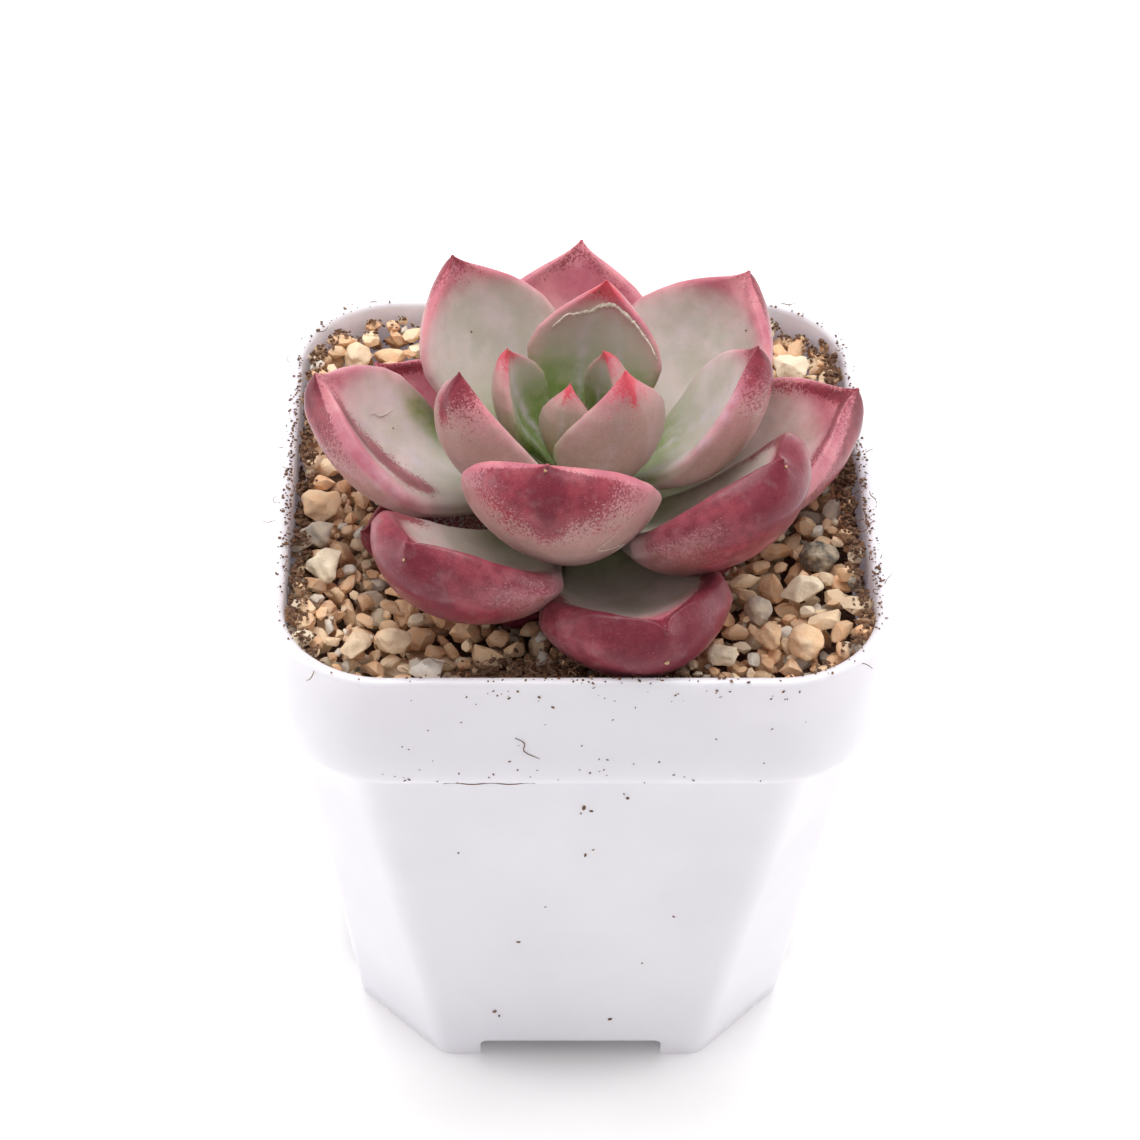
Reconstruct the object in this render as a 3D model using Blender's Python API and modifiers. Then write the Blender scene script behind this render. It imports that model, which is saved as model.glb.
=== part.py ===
"""Potted rosette succulent in a square nursery pot with a chip-gravel dressing.

Metres, +Z up. The origin is the middle of the pot's footprint, on the surface it stands on.
The plant's leaves follow the golden turn, numbered from the heart outwards.
"""
import bpy
import bmesh
import math
import random
from mathutils import Vector, noise

MM = 0.001
OBJECT_NAME = "potted_succulent"

# ---- Pot ------------------------------------------------------------------
POT_WIDTH = 70.6 * MM
POT_HEIGHT = 75.2 * MM
WALL = 1.6 * MM
COLLAR_HEIGHT = 16.6 * MM
COLLAR_CORNER_RADIUS = 13.6 * MM
COLLAR_OVERHANG = 1.9 * MM
LIP_ROUND = 0.7 * MM
BODY_TOP_CHAMFER = 8.4 * MM
BODY_TOP_EDGE_RADIUS = 6.0 * MM
BASE_WIDTH = 54.6 * MM
BASE_CHAMFER = 10.8 * MM
BASE_EDGE_RADIUS = 3.0 * MM
FLOOR_UNDERSIDE = 4.0 * MM
FLOOR_THICKNESS = 1.7 * MM
NOTCH_WIDTH = 23.2 * MM
NOTCH_HEIGHT = 3.4 * MM
NOTCH_ROUND = 0.8 * MM
DRAIN_RADIUS = 3.0 * MM
DRAIN_PITCH = 13.0 * MM
DRAIN_SIDES = 16

# ---- Fits -----------------------------------------------------------------
TOUCH_GAP = 0.35 * MM
LEAF_GAP = 0.35 * MM
STONE_REST_GAP = 1.00 * MM

# ---- Soil and gravel ------------------------------------------------------
GRAVEL_BELOW_RIM = 4.9 * MM
GRAVEL_DEPTH = 8.0 * MM
GRAVEL_DISH_UNDER_LEAVES = 0.2 * MM
GRAVEL_DISH_RADIUS = 20.0 * MM
GRAVEL_LUMP = 0.35 * MM

# ---- Stem -----------------------------------------------------------------
PLANT_OFFSET_X = -0.3 * MM
PLANT_OFFSET_Y = -1.95 * MM
STEM_RADIUS = 3.05 * MM
STEM_DEPTH_IN_SOIL = 12.0 * MM
STEM_NARROWS_AT = 2.0 * MM
STEM_HEIGHT = 8.8 * MM
STEM_TIP_RADIUS = 0.5 * MM

# ---- Rosette --------------------------------------------------------------
LEAF_COUNT = 25
HEART_LEAVES = 3
LOW_LEAVES = 5
HEART_HEIGHT = 7.4 * MM
FIRST_TURN = 245.5
GOLDEN_TURN = 137.508
LEAF_LENGTH_HEART = 13.5 * MM
LEAF_LENGTH_OUTER = 34.2 * MM
LENGTH_SETTLES_OVER = 4.9
TILT_HEART = 86.0
TILT_FALL = 7.1
TILT_EASE = 0.14
LEAF_WIDTH_HEART = 9.7 * MM
LEAF_WIDTH_OUTER = 22.7 * MM
LEAF_THICKNESS_HEART = 2.7 * MM
LEAF_THICKNESS_OUTER = 5.4 * MM
LEAF_BOW_HEART = 0.17
LEAF_BOW_OUTER = 0.27
LEAF_BOW_PER_LEAN = 0.005
LEAF_ROOT_STEP = 0.42 * MM
LEAF_ROOT_TOP = 9.7 * MM
LEAF_AROUND = 14
LEAF_ALONG = 14

# Each leaf's own way off the even spiral: turn, tip sway and tilt in degrees, and length in mm.
LEAF_TURN = {9: 5.0, 10: -4.0, 12: 2.5, 14: 5.0, 15: -5.0, 17: 4.0, 18: -4.0, 23: -8.0, 25: -6.0}
LEAF_SWAY = {6: 3.0, 7: 4.0, 8: 2.5, 9: -5.5, 10: 6.0, 11: 2.5, 12: -6.5, 13: -3.0, 14: -5.0, 15: 8.0,
             16: -8.0, 17: -8.5, 18: 2.0, 20: 3.0}
LEAF_LEAN = {6: -7.0, 10: -3.0, 11: -2.5, 12: 2.0, 13: -2.5, 14: -2.5, 15: 6.0, 16: -2.5, 17: 2.0,
             19: -1.5, 20: -2.0, 21: -6.5, 22: -6.0, 23: -12.5, 24: -13.5, 25: -13.0}
LEAF_EXTRA_LENGTH = {6: -2.2, 8: -2.4, 14: 2.0, 15: 1.2, 17: 1.4, 18: 1.7, 19: -1.5, 21: -4.0, 22: -5.0,
                     23: -12.0, 24: -9.0, 25: -12.0}
LOW_LEAF_WIDTH = {21: 18.0, 22: 16.0, 23: 12.0, 24: 12.0, 25: 9.5}
LOW_LEAF_THICKNESS = {21: 3.6, 22: 3.2, 23: 2.6, 24: 2.4, 25: 2.4}

# Leaf outline and section, as fractions of the length, the half width and the thickness.
OUTLINE_AT = (0.0, 0.03, 0.12, 0.30, 0.50, 0.68, 0.80, 0.90, 0.96, 1.0)
OUTLINE_WIDTH = (0.0, 0.17, 0.24, 0.50, 0.84, 1.0, 0.90, 0.63, 0.34, 0.0)
OUTLINE_THICKNESS = (0.0, 0.22, 0.30, 0.62, 0.95, 1.0, 0.90, 0.66, 0.36, 0.0)
UPPER_SHARE = 0.22
KEEL_POWER = 1.15

# ---- Larger stones: place as shares of the room inside the collar, then size in mm, and turn ----
STONES = {
    "stone_pale_right": (0.83, -0.56, 5.0, 4.0, 3.6, 20.0),
    "stone_tan_right": (0.85, -0.85, 5.2, 4.6, 3.2, 50.0),
    "stone_grey_right": (0.67, -0.62, 4.2, 3.4, 2.8, 130.0),
    "stone_dark_right": (0.94, -0.37, 5.6, 4.0, 3.2, 10.0),
    "stone_cream_front": (0.53, -0.88, 4.4, 3.4, 2.6, 15.0),
    "stone_tan_front": (0.68, -0.78, 4.0, 3.2, 2.6, 80.0),
    "stone_ribbed_left": (-0.66, -0.83, 4.8, 3.2, 2.6, 5.0),
    "stone_white_left": (-0.55, -0.96, 4.4, 3.4, 2.4, 25.0),
    "stone_sandy_left": (-0.81, -0.85, 4.4, 3.6, 2.8, 70.0),
    "stone_cream_left": (-0.96, -0.42, 5.0, 4.2, 3.2, 100.0),
    "stone_amber_left": (-0.98, -0.05, 5.2, 4.2, 3.2, 30.0),
    "stone_grey_left": (-0.98, -0.23, 4.4, 3.8, 2.8, 160.0),
    "stone_pale_back": (0.89, 0.76, 5.0, 4.2, 3.2, 40.0),
    "stone_buff_back": (-0.86, 0.83, 4.8, 4.0, 3.0, 120.0),
}
STONE_ROUGHNESS = 0.12

# ---- Worked out from the above --------------------------------------------
RIM_HALF = POT_WIDTH / 2
COLLAR_BOTTOM = POT_HEIGHT - COLLAR_HEIGHT
BODY_TOP_HALF = RIM_HALF - COLLAR_OVERHANG
BASE_HALF = BASE_WIDTH / 2
FLOOR_TOP = FLOOR_UNDERSIDE + FLOOR_THICKNESS
GRAVEL_TOP = POT_HEIGHT - GRAVEL_BELOW_RIM
SOIL_TOP = GRAVEL_TOP - GRAVEL_DEPTH
GRAVEL_DISH = LEAF_THICKNESS_OUTER * (1 - UPPER_SHARE) + GRAVEL_DISH_UNDER_LEAVES
HEART_BASE = GRAVEL_TOP + HEART_HEIGHT
LEAF_ROOT_BASE = GRAVEL_TOP + LEAF_ROOT_TOP
ROUND_CORNER_LEG = 2 - math.sqrt(2)
COLLAR_CHAMFER = COLLAR_CORNER_RADIUS * ROUND_CORNER_LEG
PLANT = Vector((PLANT_OFFSET_X, PLANT_OFFSET_Y, 0.0))


def clear_scene():
    for obj in list(bpy.data.objects):
        bpy.data.objects.remove(obj, do_unlink=True)


def new_collection(name):
    collection = bpy.data.collections.new(name)
    bpy.context.scene.collection.children.link(collection)
    return collection


def material(name, colour, roughness):
    made = bpy.data.materials.new(name)
    made.use_nodes = True
    shader = made.node_tree.nodes["Principled BSDF"]
    shader.inputs["Base Color"].default_value = (*colour, 1.0)
    shader.inputs["Roughness"].default_value = roughness
    return made


def object_from(bm, name, collection, mat=None):
    bmesh.ops.recalc_face_normals(bm, faces=bm.faces)
    mesh = bpy.data.meshes.new(name)
    bm.to_mesh(mesh)
    bm.free()
    obj = bpy.data.objects.new(name, mesh)
    collection.objects.link(obj)
    if mat:
        mesh.materials.append(mat)
    return obj


def smooth(obj, angle=35.0):
    bpy.ops.object.select_all(action='DESELECT')
    obj.select_set(True)
    bpy.context.view_layer.objects.active = obj
    bpy.ops.object.shade_smooth()
    obj.data.set_sharp_from_angle(angle=math.radians(angle))


def cutter(obj):
    obj.hide_render = True
    obj.display_type = 'WIRE'
    return obj


def cut(obj, tool):
    mod = obj.modifiers.new("cut_" + tool.name, 'BOOLEAN')
    mod.operation = 'DIFFERENCE'
    mod.solver = 'EXACT'
    mod.object = tool


def mix(a, b, t):
    return a + (b - a) * t


def piecewise(x, at, values):
    for i in range(1, len(at)):
        if x <= at[i]:
            return mix(values[i - 1], values[i], (x - at[i - 1]) / (at[i] - at[i - 1]))
    return values[-1]


# ---- Square shells with chamfered, rounded corners ------------------------

def corner_points(half, chamfer, radius):
    """Points round a square of this half width whose cut corners have softened edges."""
    reach = min(radius * math.tan(math.radians(22.5)), chamfer / math.sqrt(2))
    soft = reach / math.tan(math.radians(22.5))
    points = []
    for quarter in range(4):
        base = quarter * 90.0
        for near, start in ((True, 0.0), (False, 45.0)):
            if near:
                centre = Vector((half - soft, half - chamfer - reach))
            else:
                centre = Vector((half - chamfer - reach, half - soft))
            for step in range(4):
                a = math.radians(start + 15.0 * step)
                p = centre + Vector((math.cos(a), math.sin(a))) * soft
                c, s = math.cos(math.radians(base)), math.sin(math.radians(base))
                points.append((p.x * c - p.y * s, p.x * s + p.y * c))
    return points


def loft(levels, name, collection, mat=None, lift=None):
    """Join one ring per level (height, half width, chamfer, edge radius) into a closed body."""
    bm = bmesh.new()
    rings = []
    for height, half, chamfer, radius in levels:
        points = corner_points(half, chamfer, radius)
        ring = bmesh.ops.create_circle(bm, cap_ends=False, segments=len(points), radius=1.0)["verts"]
        for vert, (x, y) in zip(ring, points):
            z = height
            if lift:
                z += lift(x, y, height)
            vert.co = (x, y, z)
        rings.append(ring)
    for lower, upper in zip(rings, rings[1:]):
        edges = []
        for ring in (lower, upper):
            edges += [e for e in {e for v in ring for e in v.link_edges}
                      if e.verts[0] in ring and e.verts[1] in ring and e not in edges]
        bmesh.ops.bridge_loops(bm, edges=edges)
    for ring in (rings[0], rings[-1]):
        bmesh.ops.contextual_create(bm, geom=ring)
    bmesh.ops.remove_doubles(bm, verts=bm.verts, dist=0.001 * MM)
    return object_from(bm, name, collection, mat)


def inset(level, distance, height=None):
    z, half, chamfer, radius = level
    if height is None:
        height = z
    return (height, half - distance, chamfer - distance * ROUND_CORNER_LEG, max(radius - distance, 1.0 * MM))


def body_level(z):
    """The pot body's outer ring at a height, tapering from the collar to the feet."""
    t = z / COLLAR_BOTTOM
    return (z, mix(BASE_HALF, BODY_TOP_HALF, t), mix(BASE_CHAMFER, BODY_TOP_CHAMFER, t),
            mix(BASE_EDGE_RADIUS, BODY_TOP_EDGE_RADIUS, t))


def collar_level(z, pull=0.0):
    return inset((z, RIM_HALF, COLLAR_CHAMFER, COLLAR_CORNER_RADIUS), pull)


STEP_LOW = COLLAR_BOTTOM + 0.2 * MM
STEP_HIGH = COLLAR_BOTTOM + 1.8 * MM


def inner_levels(gap, low, high):
    """The rings of the space inside the pot, drawn in by a gap, from a low to a high level."""
    inside = WALL + gap
    levels = [inset(body_level(low), inside)]
    if high > STEP_HIGH + gap:
        levels += [inset(body_level(COLLAR_BOTTOM), inside, STEP_LOW + gap),
                   inset(collar_level(0.0), inside, STEP_HIGH + gap)]
    levels += [inset(collar_level(0.0), inside, high)]
    return levels


def make_pot(collection, cutters):
    levels = [
        inset(body_level(0.0), WALL + 0.1 * MM, FLOOR_UNDERSIDE),
        inset(body_level(0.0), WALL, 0.0),
        inset(body_level(0.0), 0.5 * MM),
        body_level(0.6 * MM),
        body_level(COLLAR_BOTTOM * 0.5),
        body_level(COLLAR_BOTTOM),
        collar_level(COLLAR_BOTTOM + 0.2 * MM, 0.9 * MM),
        collar_level(COLLAR_BOTTOM + 0.7 * MM, 0.25 * MM),
        collar_level(COLLAR_BOTTOM + 1.5 * MM),
        collar_level(POT_HEIGHT - LIP_ROUND),
        collar_level(POT_HEIGHT - LIP_ROUND * 0.3, LIP_ROUND * 0.3),
        collar_level(POT_HEIGHT, LIP_ROUND),
        collar_level(POT_HEIGHT, WALL - LIP_ROUND * 0.6),
        collar_level(POT_HEIGHT - LIP_ROUND * 0.5, WALL),
    ]
    levels += list(reversed(inner_levels(0.0, FLOOR_TOP, POT_HEIGHT - COLLAR_HEIGHT * 0.5)))
    pot = loft(levels, "pot", collection, material("pot", (0.86, 0.85, 0.86), 0.28))
    for name, turn in (("notch_x", 0.0), ("notch_y", 90.0)):
        bpy.ops.mesh.primitive_cube_add(size=1.0, rotation=(0.0, 0.0, math.radians(turn)))
        box = bpy.context.active_object
        box.name = name
        box.dimensions = (POT_WIDTH, NOTCH_WIDTH, NOTCH_HEIGHT * 2)
        bpy.ops.object.transform_apply(location=True, rotation=True, scale=True)
        rounding = box.modifiers.new("notch_round", 'BEVEL')
        rounding.width = NOTCH_ROUND
        rounding.segments = 2
        move_to(box, cutters)
        cut(pot, cutter(box))
    for i, (x, y) in enumerate(((0, 0), (1, 1), (-1, 1), (-1, -1), (1, -1))):
        bpy.ops.mesh.primitive_cylinder_add(vertices=DRAIN_SIDES, radius=DRAIN_RADIUS, depth=FLOOR_TOP,
                                            location=(x * DRAIN_PITCH, y * DRAIN_PITCH, FLOOR_TOP))
        hole = bpy.context.active_object
        hole.name = "drain_%d" % (i + 1)
        move_to(hole, cutters)
        cut(pot, cutter(hole))
    smooth(pot)


def move_to(obj, collection):
    for old in list(obj.users_collection):
        old.objects.unlink(obj)
    collection.objects.link(obj)


def stem_cutter(cutters):
    bpy.ops.mesh.primitive_cylinder_add(vertices=24, radius=STEM_RADIUS + TOUCH_GAP,
                                        depth=STEM_DEPTH_IN_SOIL * 2 + TOUCH_GAP * 2,
                                        location=(PLANT.x, PLANT.y, SOIL_TOP))
    tool = bpy.context.active_object
    tool.name = "stem_hole"
    move_to(tool, cutters)
    return cutter(tool)


def gravel_height(x, y):
    """Top of the packed gravel: lowest under the plant, rising to the wall, gently lumpy."""
    away = math.hypot(x, y)
    t = min(1.0, max(0.0, (away - GRAVEL_DISH_RADIUS) / (RIM_HALF - WALL - GRAVEL_DISH_RADIUS)))
    lumps = noise.noise(Vector((x, y, 0.0)) / (4.0 * MM))
    return GRAVEL_TOP - GRAVEL_DISH * (1 - t * t * (3 - 2 * t)) + GRAVEL_LUMP * lumps


def make_fill(collection, tool):
    soil = loft(inner_levels(TOUCH_GAP, FLOOR_TOP + TOUCH_GAP, SOIL_TOP - TOUCH_GAP),
                "soil", collection, material("soil", (0.085, 0.05, 0.03), 0.95))
    cut(soil, tool)
    smooth(soil)
    wide = inset(collar_level(GRAVEL_TOP), WALL + TOUCH_GAP)
    levels = [inset(wide, 0.0, SOIL_TOP)]
    for share in (1.0, 0.92, 0.82, 0.68, 0.52, 0.36, 0.22):
        levels.append((GRAVEL_TOP, wide[1] * share, wide[2] * share, wide[3] * share))

    def lift(x, y, height):
        if height < GRAVEL_TOP:
            return 0.0
        return gravel_height(x, y) - GRAVEL_TOP

    gravel = loft(levels, "gravel", collection, material("gravel", (0.55, 0.38, 0.22), 0.9), lift)
    cut(gravel, tool)
    smooth(gravel)


def make_stem(collection):
    foot = SOIL_TOP - STEM_DEPTH_IN_SOIL
    top = GRAVEL_TOP + STEM_HEIGHT
    profile = [(0.0, foot), (STEM_RADIUS * 0.9, foot), (STEM_RADIUS, foot + 0.5 * MM),
               (STEM_RADIUS, GRAVEL_TOP + STEM_NARROWS_AT),
               (STEM_TIP_RADIUS * 2.1, top - 0.75 * MM), (STEM_TIP_RADIUS, top - 0.15 * MM), (0.0, top)]
    bm = bmesh.new()
    verts = [bm.verts.new((r, 0.0, z)) for r, z in profile]
    for a, b in zip(verts, verts[1:]):
        bm.edges.new((a, b))
    bmesh.ops.spin(bm, geom=bm.verts[:] + bm.edges[:], cent=(0, 0, 0), axis=(0, 0, 1),
                   angle=math.radians(360), steps=20, use_merge=True)
    bmesh.ops.remove_doubles(bm, verts=bm.verts, dist=0.01 * MM)
    bmesh.ops.translate(bm, verts=bm.verts, vec=PLANT)
    smooth(object_from(bm, "stem", collection, material("stem", (0.32, 0.28, 0.16), 0.8)))


# ---- Leaves ---------------------------------------------------------------

class Leaf:
    """One leaf's sizes, from its number counted outwards from the heart."""

    def __init__(self, number):
        order = number - 1 - HEART_LEAVES
        growth = min(1.0, (number - 1) / 13.0)
        spread = min(1.0, (number - 1) / 12.0) ** 0.95
        self.turn = FIRST_TURN + GOLDEN_TURN * order + LEAF_TURN.get(number, 0.0)
        self.sway = LEAF_SWAY.get(number, 0.0)
        self.width = mix(LEAF_WIDTH_OUTER * 0.22, LEAF_WIDTH_OUTER, spread)
        self.thickness = mix(LEAF_THICKNESS_OUTER * 0.36, LEAF_THICKNESS_OUTER, growth)
        self.bow = mix(LEAF_BOW_HEART, LEAF_BOW_OUTER, growth) + LEAF_BOW_PER_LEAN * LEAF_LEAN.get(number, 0.0)
        self.root_height = LEAF_ROOT_BASE - LEAF_ROOT_STEP * (number - 1)
        self.root_radius = min(1.0 * MM + 0.13 * MM * (number - 1), STEM_RADIUS + LEAF_GAP)
        tilt = TILT_HEART - TILT_FALL * order + TILT_EASE * order ** 2 + LEAF_LEAN.get(number, 0.0)
        length = mix(LEAF_LENGTH_OUTER, LEAF_LENGTH_HEART, math.exp(-order / LENGTH_SETTLES_OVER))
        length += LEAF_EXTRA_LENGTH.get(number, 0.0) * MM
        if order < 0:
            tilt = TILT_HEART - 0.5 * order
            length = LEAF_LENGTH_HEART + 2.9 * MM * order
            self.width = LEAF_WIDTH_HEART * (0.62 + 0.13 * order)
            self.thickness = LEAF_THICKNESS_HEART * (0.62 + 0.12 * order)
            self.bow = 0.05
            self.root_height = GRAVEL_TOP + STEM_HEIGHT + (0.1 - 0.12 * order) * MM
            self.root_radius = (1.2 + 0.04 * order) * MM
        if number > LEAF_COUNT - LOW_LEAVES:
            self.width = LOW_LEAF_WIDTH[number] * MM
            self.thickness = LOW_LEAF_THICKNESS[number] * MM
        self.reach = length * math.cos(math.radians(tilt))
        if order <= 0:
            self.reach = (1.7 + 0.2 * order) * MM
        self.rise = HEART_BASE + length * math.sin(math.radians(tilt))
        self.cup = 0.34 - 0.10 * min(1.0, (number - 1) / 12.0)

    def point(self, along, around):
        """A place on the leaf's skin: along from root to tip, around the section in radians."""
        root = Vector((self.root_radius, self.root_height))
        tip = Vector((self.reach, self.rise))
        chord = tip - root
        up = Vector((-chord.y, chord.x))
        bend = root + chord * 0.55 - up * self.bow
        middle = root * (1 - along) ** 2 + bend * 2 * along * (1 - along) + tip * along ** 2
        run = ((bend - root) * (1 - along) + (tip - bend) * along).normalized()
        face = Vector((-run.y, run.x))
        half = self.width / 2 * piecewise(along, OUTLINE_AT, OUTLINE_WIDTH)
        depth = self.thickness * piecewise(along, OUTLINE_AT, OUTLINE_THICKNESS)
        cup = half ** 2 / self.width * self.cup
        across, side = math.cos(around), math.sin(around)
        if side >= 0:
            height = UPPER_SHARE * depth * side
        else:
            height = -(1 - UPPER_SHARE) * depth * abs(side) ** KEEL_POWER
        height += cup * (2 * across ** 2 - 0.6)
        turn = math.radians(self.turn + self.sway * along ** 1.5)
        outward = Vector((math.cos(turn), math.sin(turn), 0.0))
        sideways = Vector((-math.sin(turn), math.cos(turn), 0.0))
        rise = Vector((0.0, 0.0, 1.0))
        place = middle + face * height
        return PLANT + outward * place.x + rise * place.y + sideways * half * across


def leaf_colour(number):
    """Green at the heart, dusty pink further out, crimson on the low leaves."""
    t = min(1.0, number / 16.0)
    if number > LEAF_COUNT - LOW_LEAVES:
        return (0.26, 0.05, 0.07)
    return (mix(0.42, 0.50, t), mix(0.50, 0.24, t), mix(0.33, 0.22, t))


def make_leaf(number, collection):
    leaf = Leaf(number)
    bm = bmesh.new()
    bmesh.ops.create_uvsphere(bm, u_segments=LEAF_AROUND, v_segments=LEAF_ALONG, radius=1.0)
    for vert in bm.verts:
        polar = math.acos(max(-1.0, min(1.0, vert.co.z)))
        along = 0.55 * polar / math.pi + 0.45 * (0.5 - 0.5 * math.cos(polar))
        vert.co = leaf.point(along, math.atan2(vert.co.y, vert.co.x))
    name = "leaf_%02d" % number
    smooth(object_from(bm, name, collection, material(name, leaf_colour(number), 0.5)), 80.0)


# ---- Stones ---------------------------------------------------------------

def make_stone(name, sizes, collection):
    x, y, length, breadth, height, turn = sizes
    length, breadth, height = length * MM, breadth * MM, height * MM
    room = RIM_HALF - WALL - TOUCH_GAP - length / 2
    x, y = x * room, y * room
    rng = random.Random(name)
    drift = Vector((rng.uniform(0, 50), rng.uniform(0, 50), rng.uniform(0, 50)))
    bm = bmesh.new()
    bmesh.ops.create_icosphere(bm, subdivisions=2, radius=1.0)
    for vert in bm.verts:
        bump = 1.0 + STONE_ROUGHNESS * 2 * noise.noise(vert.co * 1.3 + drift)
        vert.co = Vector((vert.co.x * length, vert.co.y * breadth, vert.co.z * height)) * 0.5 * bump
    spin = math.radians(turn)
    for vert in bm.verts:
        vx, vy = vert.co.x, vert.co.y
        vert.co.x = vx * math.cos(spin) - vy * math.sin(spin)
        vert.co.y = vx * math.sin(spin) + vy * math.cos(spin)
    lift = max(gravel_height(x + v.co.x, y + v.co.y) - v.co.z for v in bm.verts)
    bmesh.ops.translate(bm, verts=bm.verts, vec=(x, y, lift + STONE_REST_GAP))
    tone = rng.uniform(0.8, 1.15)
    colour = {"dark": (0.06, 0.05, 0.05), "grey": (0.33, 0.29, 0.25), "white": (0.72, 0.66, 0.56),
              "pale": (0.66, 0.55, 0.38), "cream": (0.68, 0.56, 0.38)}.get(name.split("_")[1], (0.56, 0.36, 0.18))
    smooth(object_from(bm, name, collection, material(name, tuple(c * tone for c in colour), 0.85)), 50.0)


def main():
    clear_scene()
    parts = new_collection(OBJECT_NAME)
    cutters = new_collection("cutters")
    make_pot(parts, cutters)
    hole = stem_cutter(cutters)
    make_fill(parts, hole)
    make_stem(parts)
    for number in range(1, LEAF_COUNT + 1):
        make_leaf(number, parts)
    for name, sizes in STONES.items():
        make_stone(name, sizes, parts)


main()
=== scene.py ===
"""A rosette succulent in a square nursery pot, dressed with chip gravel.

The CAD frame sets every size. Each visible piece is modelled finely here over its own CAD node.
Lengths are in metres; MM turns millimetres into metres.
"""
import bpy
import math
import random
import numpy as np
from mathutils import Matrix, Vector, noise


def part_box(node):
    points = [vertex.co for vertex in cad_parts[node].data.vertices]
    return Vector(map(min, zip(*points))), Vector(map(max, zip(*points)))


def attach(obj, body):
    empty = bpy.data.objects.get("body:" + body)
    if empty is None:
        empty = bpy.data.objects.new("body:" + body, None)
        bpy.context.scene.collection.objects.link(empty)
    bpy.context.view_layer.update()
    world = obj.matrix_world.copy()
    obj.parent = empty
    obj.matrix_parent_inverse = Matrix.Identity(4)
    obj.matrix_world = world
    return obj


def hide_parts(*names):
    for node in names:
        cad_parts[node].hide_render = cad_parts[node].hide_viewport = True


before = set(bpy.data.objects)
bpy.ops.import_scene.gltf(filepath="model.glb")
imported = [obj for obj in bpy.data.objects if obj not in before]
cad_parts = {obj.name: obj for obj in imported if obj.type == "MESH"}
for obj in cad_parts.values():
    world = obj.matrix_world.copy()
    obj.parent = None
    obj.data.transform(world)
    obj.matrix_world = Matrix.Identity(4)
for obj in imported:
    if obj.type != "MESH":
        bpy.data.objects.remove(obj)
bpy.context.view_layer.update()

MM = 0.001

# Pot
POT_WIDTH, POT_HEIGHT, WALL = 70.6 * MM, 75.2 * MM, 1.6 * MM
COLLAR_HEIGHT, COLLAR_ROUND, COLLAR_OVERHANG = 16.6 * MM, 13.6 * MM, 1.9 * MM
BODY_TOP_CHAMFER, BODY_TOP_EDGE = 8.4 * MM, 6.0 * MM
BASE_WIDTH, BASE_CHAMFER, BASE_EDGE = 54.6 * MM, 10.8 * MM, 3.0 * MM
FLOOR_UNDERSIDE, FLOOR_THICKNESS = 4.0 * MM, 1.7 * MM
NOTCH_WIDTH, NOTCH_HEIGHT = 23.2 * MM, 3.4 * MM
DRAIN_RADIUS, DRAIN_PITCH = 3.0 * MM, 13.0 * MM

# Fill and plant
GRAVEL_TOP = 70.3 * MM
PLANT = np.array((-0.3, -1.95, 0.0)) * MM
STEM_TOP = 79.1 * MM

LEAF_COUNT = 25
HEART_LEAVES = 3
GOLDEN_TURN = 137.508
FIRST_TURN = 245.5

# Largest leaf in mm, and the share of it that the youngest leaves have
FULL_WIDTH, LEAST_WIDTH = 22.7, 0.22
FULL_THICKNESS, LEAST_THICKNESS = 5.4, 0.36

# Dressing: the bed it lies on, how high it may come, and how both climb towards the wall
BED_LEVEL, BED_CLIMB = 66.5 * MM, 2.6 * MM
FILL_LEVEL, FILL_CLIMB, FILL_PROUD = 71.4 * MM, 2.4 * MM, 1.4 * MM
CLIMB_FROM, CLIMB_TO = 24 * MM, 33 * MM

# Tries at setting down a stone, crumbs and fibres of peat, and where each run of random draws starts
ALL_TRIES, GRIT_FROM = 4700, 3500
CRUMBS, WALL_FIBRES, FRONT_FIBRES = 5200, 150, 54
GRAVEL_SEED, PEAT_SEED, MARK_SEED, DIRT_SEED = 11, 23, 5, 41

# Light
WORLD_LEVEL = 0.52
OVERHEAD_POWER, SIDE_POWER = 3.15, 0.95
LAMP_AIM = (0, 0, 0.05)


# ---- Small helpers ---------------------------------------------------------

def let_go():
    bpy.ops.object.select_all(action='DESELECT')


def take(obj):
    """Selects one object alone and makes it the active one."""
    let_go()
    obj.select_set(True)
    bpy.context.view_layer.objects.active = obj


def add_object(name, data):
    """A new object in the scene."""
    obj = bpy.data.objects.new(name, data)
    bpy.context.scene.collection.objects.link(obj)
    return obj


def smooth_shaded(obj, angle=None):
    """Shades smoothly, everywhere or up to an angle in degrees."""
    take(obj)
    if angle is None:
        bpy.ops.object.shade_smooth()
    else:
        bpy.ops.object.shade_smooth_by_angle(angle=math.radians(angle))
    let_go()


def on_whole_mesh(obj, job, **values):
    """Runs one mesh operator on every face."""
    take(obj)
    bpy.ops.object.mode_set(mode='EDIT')
    bpy.ops.mesh.select_all(action='SELECT')
    job(**values)
    bpy.ops.object.mode_set(mode='OBJECT')
    let_go()


def outward(obj):
    on_whole_mesh(obj, bpy.ops.mesh.normals_make_consistent, inside=False)


def coords(obj):
    """Every vertex as a row of x, y, z."""
    out = np.zeros(len(obj.data.vertices) * 3, np.float32)
    obj.data.vertices.foreach_get("co", out)
    return out.reshape(-1, 3).astype(float)


def set_coords(obj, co):
    """Moves every vertex to its row of co."""
    obj.data.vertices.foreach_set("co", np.asarray(co, np.float32).ravel())
    obj.data.update()


def mark(obj, name, values):
    """Stores one number per vertex, for the looks to read."""
    layer = obj.data.attributes.get(name) or obj.data.attributes.new(name, 'FLOAT', 'POINT')
    layer.data.foreach_set("value", np.asarray(values, np.float32))


def finish_piece(obj, name, finish, slot, *nodes):
    """Names a piece, gives it its look and hides the nodes it stands for; the slot is not used."""
    obj.name = name
    obj.data.name = name
    obj.data.materials.clear()
    obj.data.materials.append(finish)
    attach(obj, "root")
    if nodes:
        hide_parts(*nodes)
    return obj


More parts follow.
